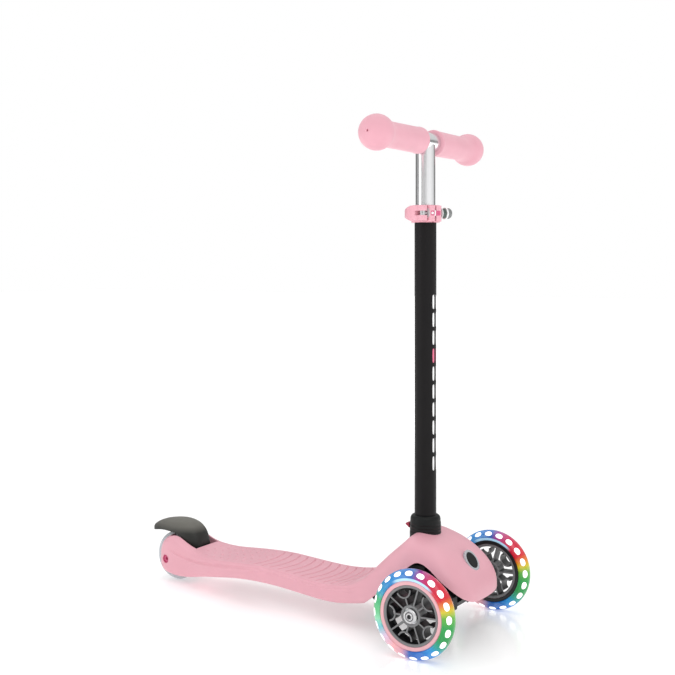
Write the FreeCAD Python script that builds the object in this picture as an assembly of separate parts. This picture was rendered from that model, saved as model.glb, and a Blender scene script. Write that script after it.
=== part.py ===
import FreeCAD, Part
import math
import os

# A child's three-wheeled kick scooter. Millimetres, +X forward, +Y left, +Z up.
# Every piece is drawn with x = 0 at the front axle and z = 0 on the ground.
# write() then moves it, so that the row's origin is the bottom centre of the box.

# ---- driving dimensions ----------------------------------------------------
FRONT_WHEEL_R = 60.5          # 121 mm light-up wheels
FRONT_WHEEL_W = 24.5
HALF_TRACK = 127.5            # centre line to the middle of a front wheel
REAR_WHEEL_R = 40.0           # 80 mm rear wheel
REAR_WHEEL_W = 22.0
WHEELBASE = 516.0
COLUMN_X = -49.5              # column axis behind the front axle
LOWER_TUBE_R = 15.9           # 31.8 mm steel tube
UPPER_TUBE_R = 14.3           # 28.6 mm aluminium tube
TUBE_WALL = 1.5
SLIDE_CLEARANCE = 0.1
BAR_Z = 707.0                 # crossbar axis, bar at its lowest
GRIP_END_Y = 142.0            # centre of a grip's ball end
GRIP_BALL_R = 25.2
LEAN_TILT = 45.0              # kingpin angle above the ground, rising forwards
DECK_WALL = 4.5
BORE_GAP = 0.05               # radial gap of a shaft in its hole
REAR_AXLE_X = -WHEELBASE
REAR_END_X = -566.0           # tail of the fender
BOX_CENTRE_X = (FRONT_WHEEL_R + REAR_END_X) / 2

X = FreeCAD.Vector(1, 0, 0)
Y = FreeCAD.Vector(0, 1, 0)
Z = FreeCAD.Vector(0, 0, 1)


# ---- helpers ---------------------------------------------------------------
def vec(x, y, z):
    return FreeCAD.Vector(x, y, z)


def box(x0, x1, y0, y1, z0, z1):
    return Part.makeBox(x1 - x0, y1 - y0, z1 - z0, vec(x0, y0, z0))


def rod(radius, start, end):
    span = end - start
    return Part.makeCylinder(radius, span.Length, start, span)


def ring(outer, inner, start, end):
    over = (end - start).normalize()
    return rod(outer, start, end).cut(rod(inner, start - over, end + over))


def across(radius, x, z, y0, y1):
    """A round bar along Y."""
    return rod(radius, vec(x, y0, z), vec(x, y1, z))


def across_ring(outer, inner, x, z, y0, y1):
    return ring(outer, inner, vec(x, y0, z), vec(x, y1, z))


def upright(radius, x, y, z0, z1):
    """A round bar along Z."""
    return rod(radius, vec(x, y, z0), vec(x, y, z1))


def upright_ring(outer, inner, x, y, z0, z1):
    return ring(outer, inner, vec(x, y, z0), vec(x, y, z1))


def side_prism(points, y0, y1):
    """Extrude an outline drawn in the XZ plane from y0 to y1."""
    wire = Part.makePolygon([vec(x, y0, z) for x, z in points + points[:1]])
    return Part.Face(wire).extrude(vec(0, y1 - y0, 0))


def smooth_side_prism(points, closing, y0, y1):
    """The same, with a smooth curve through points and straight lines for the rest."""
    curve = Part.BSplineCurve()
    curve.interpolate([vec(x, y0, z) for x, z in points])
    straight = [points[-1]] + closing + [points[0]]
    edges = [curve.toShape()]
    for (xa, za), (xb, zb) in zip(straight, straight[1:]):
        edges.append(Part.LineSegment(vec(xa, y0, za), vec(xb, y0, zb)).toShape())
    return Part.Face(Part.Wire(edges)).extrude(vec(0, y1 - y0, 0))


def plan_prism(points, z0, z1):
    wire = Part.makePolygon([vec(x, y, z0) for x, y in points + points[:1]])
    return Part.Face(wire).extrude(vec(0, 0, z1 - z0))


def lathe(profile, centre, axis):
    """Turn a (radius, along) outline around an axis through centre."""
    side = axis.cross(Z) if abs(axis.dot(Z)) < 0.9 else X
    side = vec(side.x, side.y, side.z).normalize()
    points = [centre + side * r + axis * a for r, a in profile]
    wire = Part.makePolygon(points + points[:1])
    return Part.Face(wire).revolve(centre, axis, 360)


def fuse(shapes):
    joined = shapes[0]
    for shape in shapes[1:]:
        joined = joined.fuse(shape)
    return joined.removeSplitter()


def hexagon(across_flats, start, end):
    """A hexagonal prism between two points."""
    axis = (end - start).normalize()
    side = axis.cross(Z) if abs(axis.dot(Z)) < 0.9 else X
    side = vec(side.x, side.y, side.z).normalize()
    other = axis.cross(side)
    corner = across_flats / math.sqrt(3)
    points = []
    for k in range(7):
        angle = math.radians(60 * k)
        points.append(start + side * (corner * math.cos(angle)) + other * (corner * math.sin(angle)))
    return Part.Face(Part.makePolygon(points)).extrude(end - start)


def write(name, shape):
    solids = shape if isinstance(shape, list) else [shape]
    whole = Part.makeCompound(solids) if len(solids) > 1 else solids[0]
    if whole.ShapeType == "Compound" and len(whole.Solids) == 1:
        whole = whole.Solids[0]
    moved = whole.copy()
    moved.translate(vec(-BOX_CENTRE_X, 0, 0))
    assert moved.isValid(), name
    assert moved.Volume > 0, name
    moved.exportStep("parts/" + name + ".step")


# ---- deck and nose: one lofted moulding -------------------------------------
# Each station: x, half width, top, height of the widest line, bottom,
# squareness above and below that line.
DECK_STATIONS = [
    (-537.5, 10, 48, 40, 31, 2.4, 2.4),
    (-535, 22, 60, 40, 24, 3.0, 3.0),
    (-527, 30, 71, 40, 17.5, 4.2, 4.2),
    (-512, 34.5, 79, 41, 14.5, 5.5, 5.5),
    (-494, 37, 81, 42, 13.5, 6.0, 6.0),
    (-475, 38.5, 72.5, 42, 14.5, 6.0, 6.0),
    (-455, 41, 64.5, 43, 17.5, 6.0, 5.5),
    (-430, 46.5, 59.5, 45, 22.5, 6.5, 5.0),
    (-400, 50.5, 58.8, 47, 27, 6.5, 5.0),
    (-360, 52, 60.5, 49, 32, 6.5, 5.0),
    (-320, 51.5, 61.5, 50, 33, 6.5, 5.0),
    (-280, 51.5, 60, 48, 31.5, 6.5, 5.0),
    (-240, 52.5, 57, 45, 28, 6.5, 5.0),
    (-200, 56.5, 55, 42, 26, 6.5, 5.0),
    (-170, 60.5, 57, 42, 27, 6.5, 5.0),
    (-145, 64, 62.5, 44, 30.5, 5.8, 4.4),
    (-122, 66.5, 76, 48, 34, 4.8, 3.8),
    (-100, 68.5, 97, 54, 37.5, 4.2, 3.2),
    (-80, 69.5, 117, 58, 40, 3.9, 2.8),
    (-62, 70, 133, 61, 42.5, 3.9, 2.4),
]
# The front of the nose closes in smooth curves from the column forwards.
NOSE_FRONT_X = 48.0
NOSE_HALF_W = 70.0
NOSE_BELT_Z = 63.0
NOSE_TOP_Z = 142.0
NOSE_CHIN_Z = 45.5
NOSE_STEPS = 9
NOSE_HOLLOW_X = 36.0          # the hollow stops here, and the front wall is solid


def station_at(share):
    """A nose station; share runs from 0 at the column to 1 at the front."""
    x = COLUMN_X + (NOSE_FRONT_X - COLUMN_X) * math.sin(share * math.pi / 2)
    along = (x - COLUMN_X) / (NOSE_FRONT_X - COLUMN_X)
    width_from = -27.0
    flare = max(0.0, (x - width_from) / (NOSE_FRONT_X - width_from))
    top = NOSE_BELT_Z + (NOSE_TOP_Z - NOSE_BELT_Z) * (1 - along ** 1.66) ** (1 / 1.66)
    half = NOSE_HALF_W * (1 - flare ** 3.6) ** (1 / 3.6)
    chin = NOSE_BELT_Z - (NOSE_BELT_Z - NOSE_CHIN_Z) * (1 - along ** 3.5) ** (1 / 3.5)
    return (x, half, top, NOSE_BELT_Z, chin, 3.9, 2.0)


def all_stations():
    shares = [k / NOSE_STEPS for k in range(NOSE_STEPS)]
    return DECK_STATIONS + [station_at(share) for share in shares] + [station_at(0.985)]


def oval_point(station, angle, wall=0.0):
    """A point on a station's squared oval, drawn in by the wall thickness."""
    x, half, top, belt, bottom, square_up, square_down = station
    c = math.cos(angle)
    s = math.sin(angle)
    power = 2 / (square_up if s >= 0 else square_down)
    rise = (top - wall - belt) if s >= 0 else (belt - bottom - wall)
    y = math.copysign(abs(c) ** power, c) * (half - wall)
    z = belt + math.copysign(abs(s) ** power, s) * rise
    return vec(x, y, z)


def loft(stations):
    """The solid skin: smooth squared ovals joined from station to station."""
    wires = []
    count = 28
    for station in stations:
        points = [oval_point(station, 2 * math.pi * k / count) for k in range(count)]
        curve = Part.BSplineCurve()
        curve.interpolate(points, PeriodicFlag=True)
        wires.append(Part.Wire(curve.toShape()))
    return Part.makeLoft(wires, True, False)


def cavity(stations, wall, floor_z):
    """The hollow: its roof and flanks follow the skin, and it is open below."""
    wires = []
    count = 8
    for station in stations:
        points = [oval_point(station, math.pi * k / count, wall) for k in range(count + 1)]
        x = station[0]
        low_half = (station[1] - wall) * 0.86
        points += [vec(x, -low_half, floor_z), vec(x, low_half, floor_z)]
        wires.append(Part.makePolygon(points + points[:1]))
    return Part.makeLoft(wires, True, True)


def stations_between(x0, x1):
    return [station for station in all_stations() if x0 <= station[0] <= x1]


# Steering frame: A runs up and forwards along the kingpin, B up and backwards.
TILT = math.radians(LEAN_TILT)
PIVOT = vec(0, 0, FRONT_WHEEL_R)
A = vec(math.cos(TILT), 0, math.sin(TILT))
B = vec(-math.sin(TILT), 0, math.cos(TILT))
TRUCK_HALF_A = 12.0
TRUCK_HALF_B = 18.0
TRUCK_CROWN_Y = 54.0
BUSHING_T = 5.0
LUG_T = 8.0
KINGPIN_R = 5.0
BASE_HALF_W = 44.0
FRONT_LUG_HALF_W = 26.0
REAR_LUG_HALF_W = 14.0
TRUCK_ROOM_B = 30.0           # the leaning crown reaches nearly this far up

# Steering-lock button on the front of the nose.
LOCK_CENTRE = vec(23.8, 0, 106.8)
LOCK_SLOPE = math.radians(34.5)
LOCK_OUT = vec(math.cos(LOCK_SLOPE), 0, math.sin(LOCK_SLOPE))
LOCK_BUTTON_R = 11.8
LOCK_BEZEL_R = 15.6
LOCK_SLEEVE_R = 13.2
LOCK_DEPTH = 10.0

# Column socket.
SOCKET_BOTTOM_Z = 101.0
SOCKET_TOP_Z = 164.2
SOCKET_SLEEVE_R = 20.0
SOCKET_BELL_R = 22.0
TUBE_FOOT_Z = 105.0
RELEASE_TIP = 29.0            # reach of the release button behind the column axis
RELEASE_LOW_Z = 142.8
RELEASE_HIGH_Z = 150.5

# Brake fender.
FENDER_PIVOT_X = -464.0
FENDER_PIVOT_Z = 53.5
FENDER_PIN_R = 2.5
NOTCH_HALF_W = 28.5
SLOT_HALF_W = 13.5


def tilted_block(a0, a1, b0, b1, y0, y1):
    corners = [(a0, b0), (a1, b0), (a1, b1), (a0, b1)]
    points = []
    for a, b in corners:
        place = PIVOT + A * a + B * b
        points.append((place.x, place.z))
    return side_prism(points, y0, y1)


ARCH_EDGE = [(-131, 30), (-110, 44), (-88, 62), (-62, 85), (-42, 103), (-27, 111),
             (-10, 105), (6, 93), (24, 79), (42, 64), (62, 47)]
CHIN_EDGE = ARCH_EDGE[-4:]
UNDER_Z = 10.0                # below everything that the arch and the chin cut away


def arch_cutters(inner_y):
    """The wheel arches and the sloping chin: everything below the flank's edge."""
    closing = [(62, UNDER_Z), (-131, UNDER_Z)]
    return [smooth_side_prism(ARCH_EDGE, closing, inner_y, 90),
            smooth_side_prism(ARCH_EDGE, closing, -90, -inner_y),
            side_prism(CHIN_EDGE + [(62, UNDER_Z), (6, UNDER_Z)], -90, 90)]


def make_deck_shell(skin):
    shell = skin.cut(box(-560, REAR_AXLE_X, -SLOT_HALF_W, SLOT_HALF_W, -5, 100))
    shell = shell.cut(across(REAR_WHEEL_R + 4.5, REAR_AXLE_X, REAR_WHEEL_R, -SLOT_HALF_W, SLOT_HALF_W))
    shell = shell.cut(cavity(stations_between(-420, NOSE_HOLLOW_X), DECK_WALL, 5.0))
    for cutter in arch_cutters(47.0):
        shell = shell.cut(cutter)
    shell = shell.cut(upright(SOCKET_SLEEVE_R + BORE_GAP, COLUMN_X, 0, 60, 190))
    lock_hole = rod(LOCK_SLEEVE_R + BORE_GAP, LOCK_CENTRE - LOCK_OUT * 30, LOCK_CENTRE + LOCK_OUT * 20)
    bezel_seat = rod(LOCK_BEZEL_R + 0.1, LOCK_CENTRE - LOCK_OUT * 1.6, LOCK_CENTRE + LOCK_OUT * 20)
    shell = shell.cut(lock_hole).cut(bezel_seat)
    notch = side_prism([(-453, 95), (-455, 60), (-459, 47), (-470, 47), (-487, 60),
                        (-510, 76), (-518, 95)], -NOTCH_HALF_W, NOTCH_HALF_W)
    shell = shell.cut(notch)
    shell = shell.cut(across(4.05, REAR_AXLE_X, REAR_WHEEL_R, -60, 60))
    for side in (-1, 1):
        recess = across(7.0, REAR_AXLE_X, REAR_WHEEL_R, side * 26.0, side * 50.0)
        shell = shell.cut(recess)
    shell = shell.cut(across(FENDER_PIN_R + BORE_GAP, FENDER_PIVOT_X, FENDER_PIVOT_Z, -36, 36))
    return shell


def make_deck_ribs():
    """The stiffening lattice that backs the foot board."""
    zone = cavity(stations_between(-400, -170), DECK_WALL + 0.3, 38.0)
    plates = [box(-400, -170, y - 1.5, y + 1.5, 10, 80) for y in (-30.0, 0.0, 30.0)]
    count = 9
    for k in range(count):
        x = -396 + k * 27.5
        plates.append(box(x, x + 3, -70, 70, 10, 80))
    return fuse(plates).common(zone)


def below_slope(height):
    """Everything below a slope that falls forwards from this height at the front axle."""
    return side_prism([(-30, height + 24), (40, height - 32), (40, 40), (-30, 40)], -60, 60)


def make_steering_base():
    """The black carrier inside the nose that holds the column and the kingpin."""
    inside = cavity(stations_between(-150, NOSE_HOLLOW_X), DECK_WALL + 0.4, 34.0)
    rear = box(-126, -28, -BASE_HALF_W, BASE_HALF_W, 34, SOCKET_BOTTOM_Z)
    crown = box(-28, 30, -BASE_HALF_W, BASE_HALF_W, 50, 113).cut(below_slope(90))
    lug = box(-28, 30, -FRONT_LUG_HALF_W, FRONT_LUG_HALF_W, 50, 113).cut(below_slope(74))
    rear_lug = box(-34, -8, -REAR_LUG_HALF_W, REAR_LUG_HALF_W, 35, 62)
    base = fuse([rear, crown, lug, rear_lug]).common(inside)
    slope = side_prism([(-130, 30), (-130, 60), (-104, 33.9)], -60, 60)
    base = base.cut(slope)
    reach_a = TRUCK_HALF_A + BUSHING_T
    base = base.cut(tilted_block(-reach_a, reach_a, -60, TRUCK_ROOM_B, -60, 60))
    front_end = reach_a + LUG_T
    base = base.cut(rod(KINGPIN_R + BORE_GAP, PIVOT - A * 90, PIVOT + A * 90))
    base = base.cut(rod(10.5, PIVOT + A * front_end, PIVOT + A * 80))
    base = base.cut(rod(10.5, PIVOT - A * front_end, PIVOT - A * 80))
    base = base.cut(rod(LOCK_SLEEVE_R + 1.5, LOCK_CENTRE - LOCK_OUT * 24, LOCK_CENTRE + LOCK_OUT * 20))
    base = base.cut(upright(9.0, COLUMN_X, 0, 84, 120))
    solids = sorted(base.Solids, key=lambda solid: solid.Volume)
    return solids[-1]


# ---- steering truck ----------------------------------------------------------
AXLE_BOLT_R = 4.0
WHEEL_INNER_Y = HALF_TRACK - FRONT_WHEEL_W / 2
ARM_START_Y = 52.0
ARM_BOSS_Y = 108.0


def make_truck_body():
    crown = tilted_block(-TRUCK_HALF_A, TRUCK_HALF_A, -TRUCK_HALF_B, TRUCK_HALF_B,
                         -TRUCK_CROWN_Y, TRUCK_CROWN_Y)
    crown = crown.cut(rod(KINGPIN_R + 0.4, PIVOT - A * 40, PIVOT + A * 40))
    root = [(-24, 50), (-14, 46), (14, 46), (27, 52), (27, 70), (20, 77), (-16, 77), (-24, 70)]
    tip = [(-13, 54), (-8, 48), (8, 48), (13, 54), (13, 67), (8, 73), (-8, 73), (-13, 67)]
    arms = []
    for side in (-1, 1):
        wires = []
        for outline, y in ((root, ARM_START_Y), (root, 66.0), (tip, 100.0)):
            points = [vec(x, side * y, z) for x, z in outline]
            wires.append(Part.makePolygon(points + points[:1]))
        arms.append(Part.makeLoft(wires, True, True))
        arms.append(across(14.0, 0, FRONT_WHEEL_R, side * 96.0, side * ARM_BOSS_Y))
    body = fuse([crown] + arms)
    for side in (-1, 1):
        body = body.cut(across(AXLE_BOLT_R + BORE_GAP, 0, FRONT_WHEEL_R, side * 70.0, side * 120.0))
    return body


BUSHING_OUTER_R = 13.0


def make_bushings():
    near = TRUCK_HALF_A + 0.35
    far = TRUCK_HALF_A + BUSHING_T
    inner = KINGPIN_R + BORE_GAP
    return [ring(BUSHING_OUTER_R, inner, PIVOT + A * near, PIVOT + A * far),
            ring(BUSHING_OUTER_R, inner, PIVOT - A * far, PIVOT - A * near)]


def make_kingpin():
    reach = TRUCK_HALF_A + BUSHING_T + LUG_T
    shank = rod(KINGPIN_R, PIVOT - A * (reach + 8), PIVOT + A * reach)
    head = rod(8.0, PIVOT + A * reach, PIVOT + A * (reach + 4.5))
    socket = hexagon(5.0, PIVOT + A * (reach + 1.5), PIVOT + A * (reach + 6))
    return fuse([shank, head]).cut(socket)


def make_kingpin_nut():
    reach = TRUCK_HALF_A + BUSHING_T + LUG_T
    start = PIVOT - A * (reach + 7)
    end = PIVOT - A * reach
    nut = hexagon(15.0, start, end)
    return nut.cut(rod(KINGPIN_R + BORE_GAP, start - A, end + A))


# ---- wheels ------------------------------------------------------------------
TYRE_INNER_R = 46.5
CORE_INNER_R = 41.0
LIGHT_OUTER_R = 49.5
BEARING_OUTER_R = 11.0
BEARING_W = 7.0
SPOKE_COUNT = 5
CROWN_STEPS = 10


def crowned_profile(inner_r, outer_r, half_w, shoulder):
    """A tyre section: flat inside, rounded tread, upright side walls."""
    profile = [(inner_r, -half_w + 1.0), (inner_r, half_w - 1.0), (outer_r - shoulder, half_w)]
    for k in range(1, CROWN_STEPS):
        angle = math.pi / 2 * (1 - 2 * k / CROWN_STEPS)
        along = half_w * math.sin(angle)
        radius = outer_r - shoulder + shoulder * math.cos(angle)
        profile.append((radius, along))
    profile.append((outer_r - shoulder, -half_w))
    return profile


def make_tyre(y):
    centre = vec(0, y, FRONT_WHEEL_R)
    tyre = lathe(crowned_profile(TYRE_INNER_R + BORE_GAP, FRONT_WHEEL_R, FRONT_WHEEL_W / 2, 12.0), centre, Y)
    groove = across_ring(LIGHT_OUTER_R + BORE_GAP, TYRE_INNER_R - 1, 0, FRONT_WHEEL_R, y - 5.05, y + 5.05)
    return tyre.cut(groove)


def make_light_ring(y):
    """The lamp strip in the tyre's groove, with a lens for each lamp."""
    return across_ring(LIGHT_OUTER_R, TYRE_INNER_R + BORE_GAP, 0, FRONT_WHEEL_R, y - 5.0, y + 5.0)


def make_core(y):
    return across_ring(TYRE_INNER_R, CORE_INNER_R + BORE_GAP, 0, FRONT_WHEEL_R, y - 11.0, y + 11.0)


def spoke(angle, inner_r, outer_r, half_t, y0, y1):
    bar = box(inner_r, outer_r, y0, y1, -half_t, half_t)
    bar.rotate(vec(0, 0, 0), Y, angle)
    return bar


def make_rim(y):
    """Hub and rim joined by straight spokes and forked spokes, on a thin web."""
    half = 10.5
    outer = across_ring(CORE_INNER_R, 37.0, 0, 0, y - half, y + half)
    hub = across_ring(14.5, BEARING_OUTER_R + BORE_GAP, 0, 0, y - half, y + half)
    y0 = y - 8.0
    y1 = y + 8.0
    pieces = [outer, hub]
    step = 360 / SPOKE_COUNT
    for k in range(SPOKE_COUNT):
        pieces.append(spoke(34 + k * step, 13.8, 24.0, 1.3, y0, y1))
        pieces.append(spoke(70 + k * step, 13.8, 37.6, 1.3, y0, y1))
        loop = across_ring(11.2, 8.8, 34.0, 0, y0, y1)
        loop.rotate(vec(0, 0, 0), Y, 34 + k * step)
        pieces.append(loop.common(across(37.8, 0, 0, y0 - 1, y1 + 1)))
    rim = fuse(pieces)
    stop = across_ring(13.0, 8.0, 0, 0, y - 1.5, y + 1.5)
    rim = rim.fuse(stop).removeSplitter()
    rim.translate(vec(0, 0, FRONT_WHEEL_R))
    return rim


def make_bearings(x, y, z, gap, inner_r):
    """Two ball bearings, one each side of the middle stop."""
    pair = []
    for side in (-1, 1):
        start = y + side * gap
        end = start + side * BEARING_W
        pair.append(across_ring(BEARING_OUTER_R, inner_r, x, z, start, end))
    return pair


def make_axle_bolt(side):
    """Shoulder bolt through a front wheel into the truck arm."""
    y_head = side * (HALF_TRACK + 10.5)
    shank = across(AXLE_BOLT_R, 0, FRONT_WHEEL_R, side * 72.0, y_head)
    head = across(9.5, 0, FRONT_WHEEL_R, y_head, y_head + side * 2.4)
    crown = Part.makeCone(9.5, 7.5, 1.2, vec(0, y_head + side * 2.4, FRONT_WHEEL_R), Y * side)
    socket = hexagon(5.0, vec(0, y_head + side * 1.2, FRONT_WHEEL_R), vec(0, y_head + side * 8, FRONT_WHEEL_R))
    return fuse([shank, head, crown]).cut(socket)


def make_axle_spacer(side):
    """The sleeve between the arm and the inner bearing, and the washer under the bolt head."""
    inner = across_ring(6.5, AXLE_BOLT_R + BORE_GAP, 0, FRONT_WHEEL_R,
                        side * ARM_BOSS_Y, side * (HALF_TRACK - 8.6))
    outer = across_ring(6.5, AXLE_BOLT_R + BORE_GAP, 0, FRONT_WHEEL_R,
                        side * (HALF_TRACK + 8.6), side * (HALF_TRACK + 10.5))
    return [inner, outer]


def make_magnet(side):
    """The fixed magnet sleeve that the wheel's coil turns around."""
    y = side * HALF_TRACK
    return across_ring(6.4, AXLE_BOLT_R + BORE_GAP, 0, FRONT_WHEEL_R, y - 1.4, y + 1.4)


# ---- rear wheel --------------------------------------------------------------
REAR_CORE_R = 27.0


def make_rear_tyre():
    centre = vec(REAR_AXLE_X, 0, REAR_WHEEL_R)
    return lathe(crowned_profile(REAR_CORE_R + BORE_GAP, REAR_WHEEL_R, REAR_WHEEL_W / 2, 8.0), centre, Y)


def make_rear_core():
    half = 9.5
    core = across_ring(REAR_CORE_R, BEARING_OUTER_R + BORE_GAP, REAR_AXLE_X, REAR_WHEEL_R, -half, half)
    stop = across_ring(12.0, 8.0, REAR_AXLE_X, REAR_WHEEL_R, -1.5, 1.5)
    core = core.fuse(stop).removeSplitter()
    for side in (-1, 1):
        dish = across_ring(23.0, 14.0, REAR_AXLE_X, REAR_WHEEL_R, side * 6.0, side * 12.0)
        core = core.cut(dish)
    return core


def make_rear_axle():
    shank = across(4.0, REAR_AXLE_X, REAR_WHEEL_R, -26.0, 32.0)
    head = across(6.5, REAR_AXLE_X, REAR_WHEEL_R, -30.5, -26.0)
    socket = hexagon(5.0, vec(REAR_AXLE_X, -27.5, REAR_WHEEL_R), vec(REAR_AXLE_X, -36, REAR_WHEEL_R))
    return fuse([shank, head]).cut(socket)


def make_rear_nut():
    nut = hexagon(11.0, vec(REAR_AXLE_X, 26.0, REAR_WHEEL_R), vec(REAR_AXLE_X, 31.0, REAR_WHEEL_R))
    return nut.cut(across(4.0 + BORE_GAP, REAR_AXLE_X, REAR_WHEEL_R, 25.0, 33.0))


def make_rear_spacers():
    pair = []
    for side in (-1, 1):
        pair.append(across_ring(6.5, 4.0 + BORE_GAP, REAR_AXLE_X, REAR_WHEEL_R,
                                side * 8.6, side * SLOT_HALF_W))
    return pair


# ---- brake fender ------------------------------------------------------------
# Each station: x, half width, edge height, crown height.
FENDER_STATIONS = [
    (-459, 12.5, 61, 70),
    (-461.5, 15.5, 60, 80),
    (-467, 20, 60.5, 89.5),
    (-478, 25, 68, 97.5),
    (-494, 26.5, 80, 102),
    (-510, 26, 84, 103),
    (-526, 23.5, 84.5, 101.5),
    (-541, 19.5, 83, 98.5),
    (-553, 15.5, 80.5, 94),
    (-561, 10.5, 79.5, 89.5),
    (REAR_END_X, 5, 80.5, 86),
]
FENDER_HOLLOW = [station for station in FENDER_STATIONS if -550 < station[0] < -462]
FENDER_WALL = 3.2


def fender_wire(station, inset, drop):
    x, half, edge, crown = station
    half = half - inset
    crown = crown - inset
    points = []
    count = 12
    for k in range(count + 1):
        angle = math.pi * k / count
        c = math.cos(angle)
        s = math.sin(angle)
        y = math.copysign(abs(c) ** 0.8, c) * half
        points.append(vec(x, y, edge + abs(s) ** 0.8 * (crown - edge)))
    curve = Part.BSplineCurve()
    curve.interpolate(points)
    edges = [curve.toShape()]
    low_left = vec(x, -half, edge - drop)
    low_right = vec(x, half, edge - drop)
    if drop > 0:
        edges.append(Part.makeLine(points[-1], low_left))
        edges.append(Part.makeLine(low_left, low_right))
        edges.append(Part.makeLine(low_right, points[0]))
    else:
        edges.append(Part.makeLine(points[-1], points[0]))
    return Part.Wire(edges)


def make_fender():
    outer = Part.makeLoft([fender_wire(station, 0, 0) for station in FENDER_STATIONS], True, False)
    hollow = Part.makeLoft([fender_wire(station, FENDER_WALL, 30) for station in FENDER_HOLLOW], True, False)
    skin = outer.cut(hollow)
    knuckle = across(5.0, FENDER_PIVOT_X, FENDER_PIVOT_Z, -15, 15)
    web = box(FENDER_PIVOT_X - 3.0, FENDER_PIVOT_X + 3.4, -12, 12, FENDER_PIVOT_Z, 68)
    fender = fuse([skin, knuckle, web])
    fender = fender.cut(across(FENDER_PIN_R + BORE_GAP, FENDER_PIVOT_X, FENDER_PIVOT_Z, -40, 40))
    return fender


BRAKE_GAP = 5.6


def make_brake_pad():
    """The friction block that comes down on the tyre."""
    block = box(-530, -498, -9, 9, 80, 101)
    block = block.cut(across(REAR_WHEEL_R + BRAKE_GAP, REAR_AXLE_X, REAR_WHEEL_R, -20, 20))
    under = Part.makeLoft([fender_wire(station, FENDER_WALL, 30) for station in FENDER_HOLLOW], True, False)
    return block.common(under)


def make_fender_spring():
    """A return coil on the pin at each side of the knuckle."""
    coils = []
    for side in (-1, 1):
        coils.append(across_ring(3.8, FENDER_PIN_R + 0.3, FENDER_PIVOT_X, FENDER_PIVOT_Z,
                                 side * 15.6, side * 19.0))
    return coils


# ---- column, clamp and bar ---------------------------------------------------
TUBE_TOP_Z = 612.0
CLAMP_LOW_Z = 589.0
CLAMP_HIGH_Z = 614.0
CLAMP_MID_Z = 602.0
CLAMP_R = 20.6
EAR_FRONT = 27.5
EAR_HALF_Y = 11.0
SKEWER_X = COLUMN_X + 21.5
CLAMP_TURN = -30.0            # the clamp is turned this far round the column
BARREL_Y = -18.6
BARREL_R = 4.0
LEVER_BOSS_R = 6.8
LEVER_IN_R = 21.6
LEVER_OUT_R = 30.2
NUT_WASHER_R = 7.4
NUT_START_Y = EAR_HALF_Y + 1.6
NUT_RING_Y = NUT_START_Y + 6.0
UPPER_FOOT_Z = 400.0


def make_column_socket(skin):
    """The ridged bell at the column's foot, with a sleeve down to the carrier."""
    bell_foot = 118.0
    profile = [(SOCKET_SLEEVE_R, SOCKET_BOTTOM_Z), (SOCKET_SLEEVE_R, bell_foot), (23.2, bell_foot),
               (22.9, 139.0), (22.4, 150.0), (SOCKET_BELL_R, 157.6)]
    shoulder_r = 5.0
    for k in range(1, 6):
        angle = math.pi / 2 * k / 5
        profile.append((SOCKET_BELL_R - shoulder_r * (1 - math.cos(angle)),
                        SOCKET_TOP_Z - (SOCKET_TOP_Z - 157.6) * (1 - math.sin(angle))))
    profile += [
        (LOWER_TUBE_R + BORE_GAP, SOCKET_TOP_Z), (LOWER_TUBE_R + BORE_GAP, TUBE_FOOT_Z),
        (12.0, TUBE_FOOT_Z), (12.0, SOCKET_BOTTOM_Z)]
    bell = lathe(profile, vec(COLUMN_X, 0, 0), Z)
    lower_sleeve = upright(SOCKET_SLEEVE_R, COLUMN_X, 0, 90, 190)
    collar_only = bell.cut(lower_sleeve).cut(skin)
    sleeve_only = bell.common(lower_sleeve)
    socket = fuse([collar_only, sleeve_only])
    back = COLUMN_X - RELEASE_TIP
    pocket = box(back, COLUMN_X - 19.8, -7.8, 7.8, RELEASE_LOW_Z - 0.3, RELEASE_HIGH_Z + 0.3)
    slot = box(back, COLUMN_X - 15, -6.1, 6.1, RELEASE_LOW_Z + 0.9, RELEASE_HIGH_Z - 0.9)
    return socket.cut(pocket).cut(slot)


def make_release_button():
    """The red wedge at the back of the socket, with the tongue that holds the tube."""
    inner = COLUMN_X - 23.0
    tip = COLUMN_X - RELEASE_TIP
    wedge = side_prism([(inner, RELEASE_HIGH_Z), (tip + 2.0, RELEASE_HIGH_Z - 0.4), (tip, RELEASE_HIGH_Z - 2.0),
                        (tip, RELEASE_HIGH_Z - 3.0), (inner, RELEASE_LOW_Z)], -7.5, 7.5)
    tongue = box(tip + 3.0, COLUMN_X - 19.2, -6.0, 6.0, RELEASE_LOW_Z + 1.0, RELEASE_HIGH_Z - 1.0)
    return fuse([wedge, tongue])


def make_lower_tube():
    return upright_ring(LOWER_TUBE_R, UPPER_TUBE_R + SLIDE_CLEARANCE, COLUMN_X, 0, TUBE_FOOT_Z, TUBE_TOP_Z)


def make_upper_tube():
    tube = upright_ring(UPPER_TUBE_R, UPPER_TUBE_R - TUBE_WALL, COLUMN_X, 0, UPPER_FOOT_Z, BAR_Z - 5)
    return tube.cut(across(CROSSBAR_R, COLUMN_X, BAR_Z, -30, 30))


def make_tube_plug():
    return upright(UPPER_TUBE_R - TUBE_WALL - BORE_GAP, COLUMN_X, 0, UPPER_FOOT_Z - 3, UPPER_FOOT_Z + 14)


def turned(shape):
    """Turn a clamp piece to where it stands round the column."""
    shape.rotate(vec(COLUMN_X, 0, 0), Z, CLAMP_TURN)
    return shape


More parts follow.
